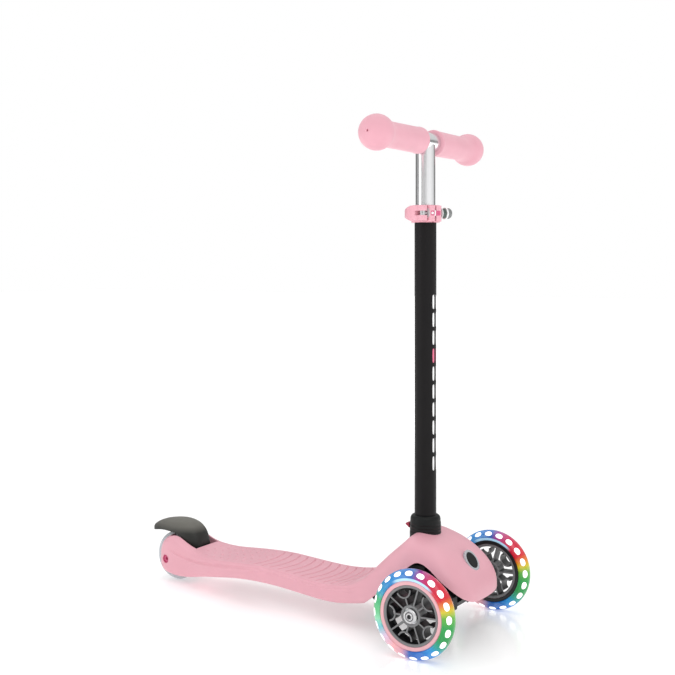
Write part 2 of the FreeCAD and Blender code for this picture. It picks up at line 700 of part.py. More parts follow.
def make_clamp_collar():
    collar = upright(CLAMP_R, COLUMN_X, 0, CLAMP_LOW_Z, CLAMP_HIGH_Z)
    ears = box(COLUMN_X + 10, COLUMN_X + EAR_FRONT, -EAR_HALF_Y, EAR_HALF_Y, CLAMP_LOW_Z + 1, CLAMP_HIGH_Z - 1)
    collar = fuse([collar, ears])
    ear_edges = [edge for edge in collar.Edges if edge_is_ear_corner(edge)]
    collar = collar.makeFillet(3.0, ear_edges)
    collar = collar.cut(upright(LOWER_TUBE_R + BORE_GAP, COLUMN_X, 0, 570, TUBE_TOP_Z))
    collar = collar.cut(upright(UPPER_TUBE_R + 0.3, COLUMN_X, 0, 570, 630))
    slit = box(COLUMN_X + 12, COLUMN_X + 60, -1.2, 1.2, 570, 630)
    collar = collar.cut(slit)
    for side in (-1, 1):
        spot_face = across(NUT_WASHER_R + 0.2, SKEWER_X, CLAMP_MID_Z, side * EAR_HALF_Y, side * 40.0)
        collar = collar.cut(spot_face)
    return turned(collar.cut(across(2.6, SKEWER_X, CLAMP_MID_Z, -40, 40)))


def edge_is_ear_corner(edge):
    a = edge.Vertexes[0].Point
    b = edge.Vertexes[-1].Point
    upright_edge = abs(a.x - b.x) < 0.01 and abs(a.y - b.y) < 0.01
    return upright_edge and a.x > COLUMN_X + EAR_FRONT - 0.5


def make_skewer():
    return turned(across(2.5, SKEWER_X, CLAMP_MID_Z, BARREL_Y, NUT_RING_Y + 4.0))


def make_barrel_pin():
    pin = upright(BARREL_R, SKEWER_X, BARREL_Y, CLAMP_MID_Z - 9.8, CLAMP_MID_Z + 9.8)
    return turned(pin.cut(across(2.5, SKEWER_X, CLAMP_MID_Z, BARREL_Y, BARREL_Y + 20)))


def make_clamp_nut():
    """A hexagon with a flange and a domed cap over the skewer's end."""
    hexagonal = hexagon(13.0, vec(SKEWER_X, NUT_START_Y, CLAMP_MID_Z), vec(SKEWER_X, NUT_RING_Y, CLAMP_MID_Z))
    cap_end = NUT_RING_Y + 10.5
    cap = lathe([(0, NUT_RING_Y), (8.4, NUT_RING_Y), (8.4, NUT_RING_Y + 2.4), (7.9, NUT_RING_Y + 2.8),
                 (7.8, cap_end - 3.4), (6.6, cap_end - 1.2), (4.4, cap_end), (0, cap_end)],
                vec(SKEWER_X, 0, CLAMP_MID_Z), Y)
    thread = across(2.5 + BORE_GAP, SKEWER_X, CLAMP_MID_Z, 10, NUT_RING_Y + 4.5)
    return turned(fuse([hexagonal, cap]).cut(thread))


def make_clamp_washers():
    """A washer under the nut and the flat seat that the cam presses on."""
    under_nut = across_ring(NUT_WASHER_R, 2.5 + BORE_GAP, SKEWER_X, CLAMP_MID_Z, EAR_HALF_Y, NUT_START_Y)
    cam_seat = across_ring(NUT_WASHER_R, 2.5 + BORE_GAP, SKEWER_X, CLAMP_MID_Z, -11.5, -EAR_HALF_Y)
    return [turned(under_nut), turned(cam_seat)]


def make_clamp_lever():
    """The cam lever that wraps round the near side of the collar."""
    low = CLAMP_MID_Z - 11.0
    high = CLAMP_MID_Z + 11.0
    boss = upright(LEVER_BOSS_R, SKEWER_X, BARREL_Y, low, high)
    wrap = upright_ring(LEVER_OUT_R, LEVER_IN_R, COLUMN_X, 0, low, high)
    reach = 60.0
    start = math.radians(-42)
    end = math.radians(-128)
    middle = (start + end) / 2
    fan = [(COLUMN_X, 0)]
    for angle in (start, (start + middle) / 2, middle, (middle + end) / 2, end):
        fan.append((COLUMN_X + reach * math.cos(angle), reach * math.sin(angle)))
    wrap = wrap.common(plan_prism(fan, low, high))
    link = plan_prism([(COLUMN_X + 15.5, -16.5), (COLUMN_X + 13, -25.0),
                       (SKEWER_X, BARREL_Y - LEVER_BOSS_R), (SKEWER_X, BARREL_Y + 2.0)], low, high)
    lever = fuse([boss, wrap, link])
    chamfer = lever_end_chamfers(low, high)
    for cutter in chamfer:
        lever = lever.cut(cutter)
    lever = lever.cut(upright(CLAMP_R + 0.6, COLUMN_X, 0, low - 1, high + 1))
    lever = lever.cut(upright(BARREL_R + BORE_GAP, SKEWER_X, BARREL_Y, low - 1, high + 1))
    window = box(SKEWER_X - 8.0, SKEWER_X + 9, BARREL_Y - 12, BARREL_Y + 12, CLAMP_MID_Z - 3.2, CLAMP_MID_Z + 3.2)
    return turned(lever.cut(window))


def lever_end_chamfers(low, high):
    """Slope the lever's free end above and below."""
    cutters = []
    x = COLUMN_X + 6.0
    for z, outward in ((high, 1), (low, -1)):
        points = [(x, z + outward * 5), (x, z), (x - 26, z - outward * 7.5), (x - 26, z + outward * 5)]
        cutters.append(side_prism(points, -40, 0))
    return cutters


CROSSBAR_R = UPPER_TUBE_R
GRIP_R = 18.6
GRIP_FLANGE_R = 19.6
GRIP_START_Y = 22.0
GRIP_BORE_END_Y = 135.0


def make_crossbar():
    return across_ring(CROSSBAR_R, CROSSBAR_R - 1.6, COLUMN_X, BAR_Z, -GRIP_BORE_END_Y, GRIP_BORE_END_Y)


def make_grip(side):
    centre = vec(COLUMN_X, 0, BAR_Z)
    inner = CROSSBAR_R + BORE_GAP
    profile = [(inner, GRIP_START_Y), (GRIP_FLANGE_R, GRIP_START_Y), (GRIP_FLANGE_R, GRIP_START_Y + 3.0),
               (GRIP_R, GRIP_START_Y + 5.0), (GRIP_R, 112.0), (19.3, 118.0)]
    neck = math.asin(20.6 / GRIP_BALL_R)
    steps = 9
    for k in range(steps):
        angle = math.pi - neck - (math.pi - neck) * k / steps
        profile.append((GRIP_BALL_R * math.sin(angle), GRIP_END_Y + GRIP_BALL_R * math.cos(angle)))
    profile.append((2.0, GRIP_END_Y + GRIP_BALL_R))
    profile.append((2.0, GRIP_BORE_END_Y + 1.0))
    profile.append((inner, GRIP_BORE_END_Y + 1.0))
    if side < 0:
        grip = lathe([(r, -a) for r, a in profile], centre, Y)
    else:
        grip = lathe(profile, centre, Y)
    return grip


# ---- steering-lock button ------------------------------------------------------
def make_lock_bezel():
    flange = ring(LOCK_BEZEL_R, LOCK_BUTTON_R + 0.35, LOCK_CENTRE - LOCK_OUT * 1.5, LOCK_CENTRE + LOCK_OUT * 1.6)
    sleeve = ring(LOCK_SLEEVE_R, LOCK_BUTTON_R + 0.35, LOCK_CENTRE - LOCK_OUT * LOCK_DEPTH, LOCK_CENTRE)
    floor = ring(LOCK_SLEEVE_R, 3.1, LOCK_CENTRE - LOCK_OUT * (LOCK_DEPTH + 1.5), LOCK_CENTRE - LOCK_OUT * LOCK_DEPTH)
    return fuse([flange, sleeve, floor])


def make_lock_button():
    cap = rod(LOCK_BUTTON_R, LOCK_CENTRE - LOCK_OUT * 3.0, LOCK_CENTRE + LOCK_OUT * 2.4)
    rim = [edge for edge in cap.Edges if (edge.CenterOfMass - LOCK_CENTRE).dot(LOCK_OUT) > 2.3]
    cap = cap.makeFillet(1.2, rim)
    stem = rod(3.0, LOCK_CENTRE - LOCK_OUT * (LOCK_DEPTH + 2.5), LOCK_CENTRE)
    return fuse([cap, stem])


def make_lock_spring():
    """Drawn at its pressed length, so that the cap clears it at full press."""
    return ring(7.0, 4.6, LOCK_CENTRE - LOCK_OUT * LOCK_DEPTH, LOCK_CENTRE - LOCK_OUT * 5.2)


# ---- build everything ------------------------------------------------------------
def build_all():
    os.makedirs("parts", exist_ok=True)

    skin = loft(all_stations())
    write("deck_shell", make_deck_shell(skin))
    write("deck_ribs", make_deck_ribs())
    write("steering_base", make_steering_base())
    write("kingpin", make_kingpin())
    write("kingpin_nut", make_kingpin_nut())
    write("steering_bushings", make_bushings())
    write("lock_bezel", make_lock_bezel())
    write("lock_button", make_lock_button())
    write("lock_spring", make_lock_spring())
    write("column_socket", make_column_socket(skin))
    write("release_button", make_release_button())
    write("lower_tube", make_lower_tube())
    write("clamp_collar", make_clamp_collar())
    write("clamp_skewer", make_skewer())
    write("barrel_pin", make_barrel_pin())
    write("clamp_nut", make_clamp_nut())
    write("clamp_washers", make_clamp_washers())
    write("clamp_lever", make_clamp_lever())
    write("upper_tube", make_upper_tube())
    write("tube_plug", make_tube_plug())
    write("crossbar", make_crossbar())
    write("truck_body", make_truck_body())
    write("rear_tyre", make_rear_tyre())
    write("rear_core", make_rear_core())
    write("rear_bearings", make_bearings(REAR_AXLE_X, 0, REAR_WHEEL_R, 1.5, 4.0 + BORE_GAP))
    write("rear_axle", make_rear_axle())
    write("rear_axle_nut", make_rear_nut())
    write("rear_spacers", make_rear_spacers())
    write("brake_fender", make_fender())
    write("brake_pad", make_brake_pad())
    write("fender_pin", across(FENDER_PIN_R, FENDER_PIVOT_X, FENDER_PIVOT_Z, -35.5, 35.5))
    write("fender_spring", make_fender_spring())

    for side_name, side_sign in (("left", 1), ("right", -1)):
        wheel_y = side_sign * HALF_TRACK
        write("grip_" + side_name, make_grip(side_sign))
        write("tyre_" + side_name, make_tyre(wheel_y))
        write("light_ring_" + side_name, make_light_ring(wheel_y))
        write("wheel_core_" + side_name, make_core(wheel_y))
        write("wheel_rim_" + side_name, make_rim(wheel_y))
        write("wheel_bearings_" + side_name, make_bearings(0, wheel_y, FRONT_WHEEL_R, 1.6, AXLE_BOLT_R + BORE_GAP))
        write("axle_bolt_" + side_name, make_axle_bolt(side_sign))
        write("axle_spacers_" + side_name, make_axle_spacer(side_sign))
        write("magnet_" + side_name, make_magnet(side_sign))


if __name__ == "__main__":
    build_all()
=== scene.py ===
import math

import bmesh
import bpy
import numpy as np
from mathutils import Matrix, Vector


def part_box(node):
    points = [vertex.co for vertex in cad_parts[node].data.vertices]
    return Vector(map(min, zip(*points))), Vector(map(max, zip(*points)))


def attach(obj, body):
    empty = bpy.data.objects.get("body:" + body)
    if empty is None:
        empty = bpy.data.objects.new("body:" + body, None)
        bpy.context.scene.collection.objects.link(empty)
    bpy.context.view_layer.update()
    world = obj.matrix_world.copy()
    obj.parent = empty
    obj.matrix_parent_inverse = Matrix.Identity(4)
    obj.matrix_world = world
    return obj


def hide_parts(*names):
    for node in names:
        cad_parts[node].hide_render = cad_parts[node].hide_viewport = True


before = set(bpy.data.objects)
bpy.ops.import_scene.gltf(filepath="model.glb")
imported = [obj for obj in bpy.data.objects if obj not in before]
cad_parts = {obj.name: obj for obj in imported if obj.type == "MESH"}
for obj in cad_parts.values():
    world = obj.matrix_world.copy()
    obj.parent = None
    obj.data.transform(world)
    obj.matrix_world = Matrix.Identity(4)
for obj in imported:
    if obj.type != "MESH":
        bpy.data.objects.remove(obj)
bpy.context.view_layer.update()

# ---- places, all worked out from the frame ------------------------------------
# Shapes below are drawn in millimetres, with x = 0 at the front axle and z = 0
# on the ground, as in the CAD source. place() turns them into frame metres.
MM = 0.001


def middle(node):
    low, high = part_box(node)
    return (low + high) / 2


def in_mm(value):
    return value / MM


AXLE_X = middle("wheel_core_left").x
WHEEL_Z = in_mm(middle("wheel_core_left").z)
HALF_TRACK = in_mm(middle("wheel_core_left").y)
COLUMN_X = in_mm(middle("lower_tube").x - AXLE_X)
REAR_X = in_mm(middle("rear_core").x - AXLE_X)
REAR_Z = in_mm(middle("rear_core").z)
BAR_Z = in_mm(middle("crossbar").z)
CLAMP_Z = in_mm(middle("clamp_skewer").z)
TYRE_R = in_mm(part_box("tyre_left")[1].z) / 2
TUBE_R = in_mm(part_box("lower_tube")[1].y)
GRIP_BALL_R = in_mm(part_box("grip_left")[1].z) - BAR_Z
GRIP_OUT_Y = in_mm(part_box("grip_left")[1].y)
GRIP_IN_Y = in_mm(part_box("grip_left")[0].y)
SOCKET_LOW_Z = in_mm(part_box("column_socket")[0].z)
SOCKET_TOP_Z = in_mm(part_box("column_socket")[1].z)


def place(x, y, z):
    return Vector((AXLE_X + x * MM, y * MM, z * MM))


# ---- materials -----------------------------------------------------------------
def material(name):
    mat = bpy.data.materials.new(name)
    mat.use_nodes = True
    return mat, mat.node_tree.nodes, mat.node_tree.links


def shader_of(nodes):
    return nodes["Principled BSDF"]


def noise(nodes, links, scale, detail, coordinates):
    texture = nodes.new("ShaderNodeTexNoise")
    texture.inputs["Scale"].default_value = scale
    texture.inputs["Detail"].default_value = detail
    links.new(coordinates, texture.inputs["Vector"])
    return texture.outputs["Fac"]


def remap(nodes, links, value, span, onto=(0.0, 1.0), smooth=False):
    """Map a value from one span onto another, held at both ends."""
    node = nodes.new("ShaderNodeMapRange")
    if smooth:
        node.interpolation_type = "SMOOTHSTEP"
    node.inputs["From Min"].default_value = span[0]
    node.inputs["From Max"].default_value = span[1]
    node.inputs["To Min"].default_value = onto[0]
    node.inputs["To Max"].default_value = onto[1]
    links.new(value, node.inputs["Value"])
    return node.outputs["Result"]


def spread(nodes, links, value, low, high):
    """Map a 0..1 noise value to low..high."""
    return remap(nodes, links, value, (0.3, 0.7), (low, high))


def compute(nodes, links, operation, first, second):
    """One step of arithmetic on two sockets; the second may be a number."""
    node = nodes.new("ShaderNodeMath")
    node.operation = operation
    links.new(first, node.inputs[0])
    if isinstance(second, float):
        node.inputs[1].default_value = second
    else:
        links.new(second, node.inputs[1])
    return node.outputs["Value"]


def blend(nodes, links, first, second, factor, kind="MIX"):
    """Mix two colours; first and second are sockets or plain colours, factor a socket or a number."""
    node = nodes.new("ShaderNodeMix")
    node.data_type = "RGBA"
    node.blend_type = kind
    for name, value in (("A", first), ("B", second), ("Factor", factor)):
        if isinstance(value, (tuple, float)):
            node.inputs[name].default_value = value
        else:
            links.new(value, node.inputs[name])
    return node.outputs["Result"]


def ramp_of(nodes, links, share, stops):
    """Colours blended between stops of (place from 0 to 1, colour)."""
    ramp = nodes.new("ShaderNodeValToRGB")
    elements = ramp.color_ramp.elements
    elements[0].position = stops[0][0]
    elements[1].position = stops[-1][0]
    for position, colour in stops[1:-1]:
        elements.new(position).color = colour + (1.0,)
    elements[0].color = stops[0][1] + (1.0,)
    elements[len(elements) - 1].color = stops[-1][1] + (1.0,)
    links.new(share, ramp.inputs["Fac"])
    return ramp.outputs["Color"]


def add_grain(nodes, links, coordinates, scale, strength, depth):
    """A fine bump on the surface."""
    bump = nodes.new("ShaderNodeBump")
    bump.inputs["Strength"].default_value = strength
    bump.inputs["Distance"].default_value = depth
    links.new(noise(nodes, links, scale, 2.0, coordinates), bump.inputs["Height"])
    links.new(bump.outputs["Normal"], shader_of(nodes).inputs["Normal"])


def shaded(colour, factor):
    return tuple(min(1.0, channel * factor) for channel in colour)


def finish_of(name, colour, roughness, metallic=0.0, grain=900.0, grain_depth=0.00004,
              mottle=0.04, stretch=(1.0, 1.0, 1.0), specular=0.5, sheen=0.0):
    """A moulded, painted or metal surface: mottled colour, uneven gloss and a fine grain."""
    mat, nodes, links = material(name)
    shader = shader_of(nodes)
    mapping = nodes.new("ShaderNodeMapping")
    mapping.inputs["Scale"].default_value = stretch
    links.new(nodes.new("ShaderNodeTexCoord").outputs["Object"], mapping.inputs["Vector"])
    along = mapping.outputs["Vector"]
    patches = noise(nodes, links, 28.0, 3.0, along)
    tints = ramp_of(nodes, links, patches, [(0.3, shaded(colour, 1.0 - mottle)),
                                            (0.7, shaded(colour, 1.0 + mottle))])
    links.new(tints, shader.inputs["Base Color"])
    gloss = noise(nodes, links, 140.0, 2.0, along)
    links.new(spread(nodes, links, gloss, roughness * 0.88, roughness * 1.12), shader.inputs["Roughness"])
    add_grain(nodes, links, along, grain, 0.5, grain_depth)
    shader.inputs["Metallic"].default_value = metallic
    shader.inputs["Specular IOR Level"].default_value = specular
    shader.inputs["Sheen Weight"].default_value = sheen
    return mat


PINK = (0.80, 0.40, 0.47)
pink_plastic = finish_of("pink_plastic", PINK, 0.38, grain=1500.0, grain_depth=0.00002, mottle=0.02)
pink_core = finish_of("pink_core", (0.86, 0.46, 0.50), 0.3, grain=1200.0, mottle=0.02)
# A darker, deeper pink standing for the pink in shade: painted shade for recesses, slots and the parts seen
# deep inside them.
shaded_pink = finish_of("shaded_pink", (0.62, 0.10, 0.22), 0.4, grain=1200.0, mottle=0.05)
pink_rubber = finish_of("pink_rubber", (0.74, 0.365, 0.435), 0.55, grain=2200.0, grain_depth=0.00006,
                        mottle=0.025, sheen=0.15)
black_plastic = finish_of("black_plastic", (0.006, 0.007, 0.007), 0.45, grain=1300.0,
                          grain_depth=0.00006, mottle=0.12, specular=0.22)
black_paint = finish_of("black_paint", (0.007, 0.006, 0.0065), 0.42, grain=2600.0,
                        grain_depth=0.00003, mottle=0.08, specular=0.16)
drawn_aluminium = finish_of("drawn_aluminium", (0.86, 0.86, 0.87), 0.24, metallic=1.0, grain=500.0,
                            grain_depth=0.00001, mottle=0.03, stretch=(1.0, 1.0, 0.03))
bar_aluminium = finish_of("bar_aluminium", (0.80, 0.81, 0.82), 0.24, metallic=1.0, grain=500.0,
                          grain_depth=0.00001, mottle=0.03, stretch=(1.0, 0.03, 1.0))
zinc_steel = finish_of("zinc_steel", (0.62, 0.62, 0.63), 0.28, metallic=1.0, grain=900.0,
                       grain_depth=0.00001, mottle=0.06)
bright_ring = finish_of("bright_ring", (0.52, 0.53, 0.56), 0.25, metallic=0.35, grain=800.0,
                        grain_depth=0.00001, mottle=0.04)
red_plastic = finish_of("red_plastic", (0.36, 0.008, 0.045), 0.35, grain=1200.0, mottle=0.05)
fender_plastic = finish_of("fender_plastic", (0.15, 0.145, 0.125), 0.5, grain=1100.0,
                           grain_depth=0.00005, mottle=0.06)


def paint_light_bands(mat, axis, stops):
    """Paint bands of light and shade on a piece along an axis: stops are (distance in metres, tint)."""
    nodes = mat.node_tree.nodes
    links = mat.node_tree.links
    measure = nodes.new("ShaderNodeVectorMath")
    measure.operation = "DOT_PRODUCT"
    measure.inputs[1].default_value = axis
    links.new(nodes.new("ShaderNodeTexCoord").outputs["Object"], measure.inputs[0])
    low = stops[0][0]
    high = stops[-1][0]
    share = remap(nodes, links, measure.outputs["Value"], (low, high))
    places = [((distance - low) / (high - low), tint) for distance, tint in stops]
    base = shader_of(nodes).inputs["Base Color"]
    before = base.links[0].from_socket
    links.new(blend(nodes, links, before, ramp_of(nodes, links, share, places), 1.0, "MULTIPLY"), base)


# Lit and shaded copies of the wheel's dark grey plastic: the grey below is painted light for faces that catch
# it, the near-black one is painted shade for walls, recesses and inner faces.
rim_lit_grey = finish_of("rim_lit_grey", (0.20, 0.20, 0.205), 0.4, grain=1200.0, mottle=0.05)
rim_shade_black = finish_of("rim_shade_black", (0.012, 0.012, 0.014), 0.4, grain=1200.0, mottle=0.1)
hub_cap_metal = finish_of("hub_cap_metal", (0.66, 0.66, 0.66), 0.3, metallic=1.0, grain=700.0, mottle=0.06)
pale_plastic = finish_of("pale_plastic", (0.62, 0.63, 0.63), 0.4, grain=1000.0, mottle=0.03)
black_rubber = finish_of("black_rubber", (0.02, 0.02, 0.02), 0.75, grain=900.0,
                         grain_depth=0.0001, mottle=0.1)
# White for the printed tube bars, also used as painted highlight on the clamp bolt.
white_print_and_highlight = finish_of("white_print_and_highlight", (0.88, 0.88, 0.88), 0.5, grain=1500.0, mottle=0.02)
pink_ink = finish_of("pink_ink", (0.80, 0.16, 0.28), 0.5, grain=1500.0, mottle=0.03)

# Painted light and shade on the fender: near-black towards the skirt, lighter towards the crown, standing in
# for light from above.
paint_light_bands(fender_plastic, (0, 0, 1), [
    (0.066, (0.025, 0.03, 0.025)), (0.084, (0.07, 0.08, 0.065)),
    (0.094, (0.8, 0.8, 0.8)), (0.103, (1.0, 1.0, 1.0))])
nut_metal = finish_of("nut_metal", (0.60, 0.60, 0.60), 0.4, metallic=0.3, grain=900.0, mottle=0.05)
CLAMP_TURN = math.radians(-30)
SKEWER_WAY = (-math.sin(CLAMP_TURN), math.cos(CLAMP_TURN), 0)
COLUMN_WAY = middle("lower_tube").x * SKEWER_WAY[0]
# Painted light on the clamp nut, in bands along the skewer: a pale washer band, a dark grey-green painted
# reflection, a bright painted highlight ring and a grey cap.
WASHER_TINT = (0.9, 0.9, 0.9)
DARK_REFLECTION_TINT = (0.13, 0.17, 0.15)
HIGHLIGHT_TINT = (1.4, 1.4, 1.4)
CAP_TINT = (0.35, 0.36, 0.36)
paint_light_bands(nut_metal, SKEWER_WAY, [
    (COLUMN_WAY + distance * MM, tint) for distance, tint in (
        (11.0, WASHER_TINT), (12.8, WASHER_TINT), (13.0, DARK_REFLECTION_TINT), (18.4, DARK_REFLECTION_TINT),
        (18.6, HIGHLIGHT_TINT), (21.0, HIGHLIGHT_TINT), (21.4, CAP_TINT), (30.0, CAP_TINT))])

HALF_TURNS = (-math.pi, math.pi)
# The pale blue of a painted highlight on the tyre's upper inner edge.
PAINTED_HIGHLIGHT_BLUE = (0.45, 0.74, 0.95, 1.0)

# The lamps glow in bands of colour round the wheel: angle in degrees from straight
# ahead, turning upwards, then the colour of the band.
GLOW_BANDS = [
    (-180, (0.10, 0.50, 0.20)), (-168, (0.25, 0.66, 0.40)), (-155, (0.16, 0.52, 0.58)),
    (-140, (0.66, 0.50, 0.66)), (-120, (0.82, 0.40, 0.42)), (-105, (0.66, 0.34, 0.42)),
    (-92, (0.00, 0.10, 0.42)), (-70, (0.00, 0.14, 0.52)), (-52, (0.00, 0.26, 0.62)),
    (-41, (0.00, 0.30, 0.24)), (-28, (0.00, 0.27, 0.05)), (-8, (0.00, 0.31, 0.05)),
    (6, (0.10, 0.40, 0.03)), (15, (0.62, 0.52, 0.02)), (23, (0.70, 0.20, 0.02)),
    (32, (0.62, 0.015, 0.03)), (52, (0.56, 0.01, 0.045)), (66, (0.48, 0.015, 0.12)),
    (78, (0.34, 0.03, 0.24)), (88, (0.02, 0.12, 0.42)), (110, (0.00, 0.20, 0.56)),
    (134, (0.00, 0.21, 0.52)), (150, (0.01, 0.28, 0.46)), (162, (0.04, 0.40, 0.16)),
    (180, (0.10, 0.50, 0.20)),
]


def turn_round_axle(nodes, links):
    """0..1 once round a wheel, from the piece's own coordinates, and the radius in metres."""
    where = nodes.new("ShaderNodeTexCoord").outputs["Object"]
    parts = nodes.new("ShaderNodeSeparateXYZ")
    links.new(where, parts.inputs["Vector"])
    ahead = compute(nodes, links, "SUBTRACT", parts.outputs["X"], AXLE_X)
    above = compute(nodes, links, "SUBTRACT", parts.outputs["Z"], WHEEL_Z * MM)
    angle = compute(nodes, links, "ARCTAN2", above, ahead)
    flat = nodes.new("ShaderNodeCombineXYZ")
    links.new(ahead, flat.inputs["X"])
    links.new(above, flat.inputs["Y"])
    length = nodes.new("ShaderNodeVectorMath")
    length.operation = "LENGTH"
    links.new(flat.outputs["Vector"], length.inputs[0])
    return remap(nodes, links, angle, HALF_TURNS), length.outputs["Value"]


def round_stops(bands):
    """Ramp stops from (angle in degrees, colour) bands."""
    return [((degrees + 180) / 360, colour) for degrees, colour in bands]


def between(nodes, links, value, low, high, soft):
    """1 where value lies between low and high, with soft edges, else 0."""
    risen = remap(nodes, links, value, (low - soft, low + soft), smooth=True)
    not_yet = remap(nodes, links, value, (high + soft, high - soft), smooth=True)
    return compute(nodes, links, "MULTIPLY", risen, not_yet)


def glowing_tyre():
    """Clear cast tyre lit from inside in bands of colour, with a painted pale blue highlight inside its upper
    edge that glows with the rest.
    """
    mat, nodes, links = material("clear_tyre_lit")
    shader = shader_of(nodes)
    share, radius = turn_round_axle(nodes, links)
    glow = ramp_of(nodes, links, share, round_stops(GLOW_BANDS))
    upper_left = between(nodes, links, share, 0.645, 0.83, 0.02)
    inner_edge = between(nodes, links, radius, 0.040, 0.0505, 0.0006)
    # Mask of the painted highlight: upper left of the wheel, inner edge of the tyre.
    painted_highlight = compute(nodes, links, "MULTIPLY", upper_left, inner_edge)
    colour = blend(nodes, links, glow, PAINTED_HIGHLIGHT_BLUE, painted_highlight)
    links.new(colour, shader.inputs["Base Color"])
    links.new(colour, shader.inputs["Emission Color"])
    shader.inputs["Emission Strength"].default_value = 0.22
    shader.inputs["Roughness"].default_value = 0.14
    shader.inputs["Coat Weight"].default_value = 0.35
    shader.inputs["Coat Roughness"].default_value = 0.06
    where = nodes.new("ShaderNodeTexCoord").outputs["Object"]
    cloud = noise(nodes, links, 60.0, 2.0, where)
    links.new(spread(nodes, links, cloud, 0.90, 0.97), shader.inputs["Alpha"])
    add_grain(nodes, links, where, 300.0, 0.3, 0.0001)
    return mat


def lamp_lens():
    """Lamp lens: white hot, with a little of the band's colour at its edge."""
    mat, nodes, links = material("lamp_lens")
    shader = shader_of(nodes)
    glow = ramp_of(nodes, links, turn_round_axle(nodes, links)[0], round_stops(GLOW_BANDS))
    edge = nodes.new("ShaderNodeLayerWeight")
    edge.inputs["Blend"].default_value = 0.25
    colour = blend(nodes, links, (1.0, 1.0, 1.0, 1.0), glow, edge.outputs["Fresnel"])
    links.new(colour, shader.inputs["Base Color"])
    links.new(colour, shader.inputs["Emission Color"])
    shader.inputs["Emission Strength"].default_value = 0.6
    shader.inputs["Roughness"].default_value = 0.2
    return mat


def plain_clear_tyre():
    """The small rear tyre: clear with a faint blue-grey body."""
    mat, nodes, links = material("clear_tyre_plain")
    shader = shader_of(nodes)
    where = nodes.new("ShaderNodeTexCoord").outputs["Object"]
    body = noise(nodes, links, 70.0, 2.0, where)
    tints = ramp_of(nodes, links, body, [(0.0, (0.30, 0.34, 0.42)), (1.0, (0.80, 0.83, 0.86))])
    links.new(tints, shader.inputs["Base Color"])
    cloud = noise(nodes, links, 50.0, 2.0, where)
    links.new(spread(nodes, links, cloud, 0.55, 0.75), shader.inputs["Alpha"])
    shader.inputs["Roughness"].default_value = 0.08
    shader.inputs["Coat Weight"].default_value = 0.8
    return mat


tyre_lit = glowing_tyre()
lens_lit = lamp_lens()
tyre_plain = plain_clear_tyre()


# ---- mesh helpers --------------------------------------------------------------
def mesh_object(name, points, faces, materials, face_materials=None, sharp_degrees=35.0):
    """A smooth-shaded mesh from millimetre points, with edges over sharp_degrees kept crisp."""
    mesh = bpy.data.meshes.new(name)
    mesh.from_pydata([place(*point) for point in points], [], faces)
    for entry in materials:
        mesh.materials.append(entry)
    if face_materials is not None:
        mesh.polygons.foreach_set("material_index", face_materials)
    mesh.validate()
    mesh.shade_smooth()
    mesh.set_sharp_from_angle(angle=math.radians(sharp_degrees))
    made = bpy.data.objects.new(name, mesh)
    bpy.context.scene.collection.objects.link(made)
    return made


def combine(target, operation, tools, sharp_degrees=35.0):
    """Cut, join or intersect target with each tool, then remove the tools."""
    for tool in tools:
        change = target.modifiers.new("change", "BOOLEAN")
        change.operation = operation
        change.solver = "MANIFOLD"
        change.object = tool
        bpy.context.view_layer.objects.active = target
        bpy.ops.object.modifier_apply(modifier=change.name)
        bpy.data.objects.remove(tool)
    target.data.shade_smooth()
    target.data.set_sharp_from_angle(angle=math.radians(sharp_degrees))
    return target


def ring_faces(rings, count, closed_ends=False):
    """Quads between neighbouring rings of count points each."""
    faces = []
    for i in range(rings - 1):
        for j in range(count):
            k = (j + 1) % count
            faces.append((i * count + j, i * count + k, (i + 1) * count + k, (i + 1) * count + j))
    if closed_ends:
        faces.append(tuple(reversed(range(count))))
        faces.append(tuple(range((rings - 1) * count, rings * count)))
    return faces


def lathe(name, profile, centre, axis, materials, bands=None, steps=96, sharp_degrees=35.0):
    """Turn a closed (radius, along) outline round an axis, 'y' or 'z'. bands names each edge's material."""
    points = []
    for k in range(steps):
        angle = 2 * math.pi * k / steps
        c = math.cos(angle)
        s = math.sin(angle)
        for radius, along in profile:
            if axis == "y":
                points.append((centre[0] + radius * c, centre[1] + along, centre[2] - radius * s))
            else:
                points.append((centre[0] + radius * c, centre[1] + radius * s, centre[2] + along))
    count = len(profile)
    faces = []
    indices = []
    for k in range(steps):
        other = (k + 1) % steps
        for j in range(count):
            n = (j + 1) % count
            faces.append((k * count + j, other * count + j, other * count + n, k * count + n))
            indices.append(bands[j] if bands else 0)
    made = mesh_object(name, points, faces, materials, indices, sharp_degrees)
    facing_out(made)
    return made


def facing_out(made):
    """Turn every face of a closed piece outwards."""
    working = bmesh.new()
    working.from_mesh(made.data)
    bmesh.ops.recalc_face_normals(working, faces=working.faces)
    working.to_mesh(made.data)
    working.free()


def rod(name, radius, start, end, steps=64):
    """A plain cutter bar between two millimetre points."""
    start = Vector(start)
    end = Vector(end)
    axis = (end - start).normalized()
    side = axis.orthogonal().normalized()
    other = axis.cross(side)
    points = []
    for foot in (start, end):
        for k in range(steps):
            angle = 2 * math.pi * k / steps
            points.append(foot + (side * math.cos(angle) + other * math.sin(angle)) * radius)
    made = mesh_object(name, points, ring_faces(2, steps, True), [])
    facing_out(made)
    return made


def side_prism(name, outline, y0, y1):
    """A cutter: an XZ outline extruded from y0 to y1."""
    points = [(x, y, z) for y in (y0, y1) for x, z in outline]
    made = mesh_object(name, points, ring_faces(2, len(outline), True), [])
    facing_out(made)
    return made


def block(name, x0, x1, y0, y1, z0, z1):
    return side_prism(name, [(x0, z0), (x1, z0), (x1, z1), (x0, z1)], y0, y1)


def ride_as(made, body, slot, *nodes):
    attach(made, body)
    if nodes:
        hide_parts(*nodes)
    return made


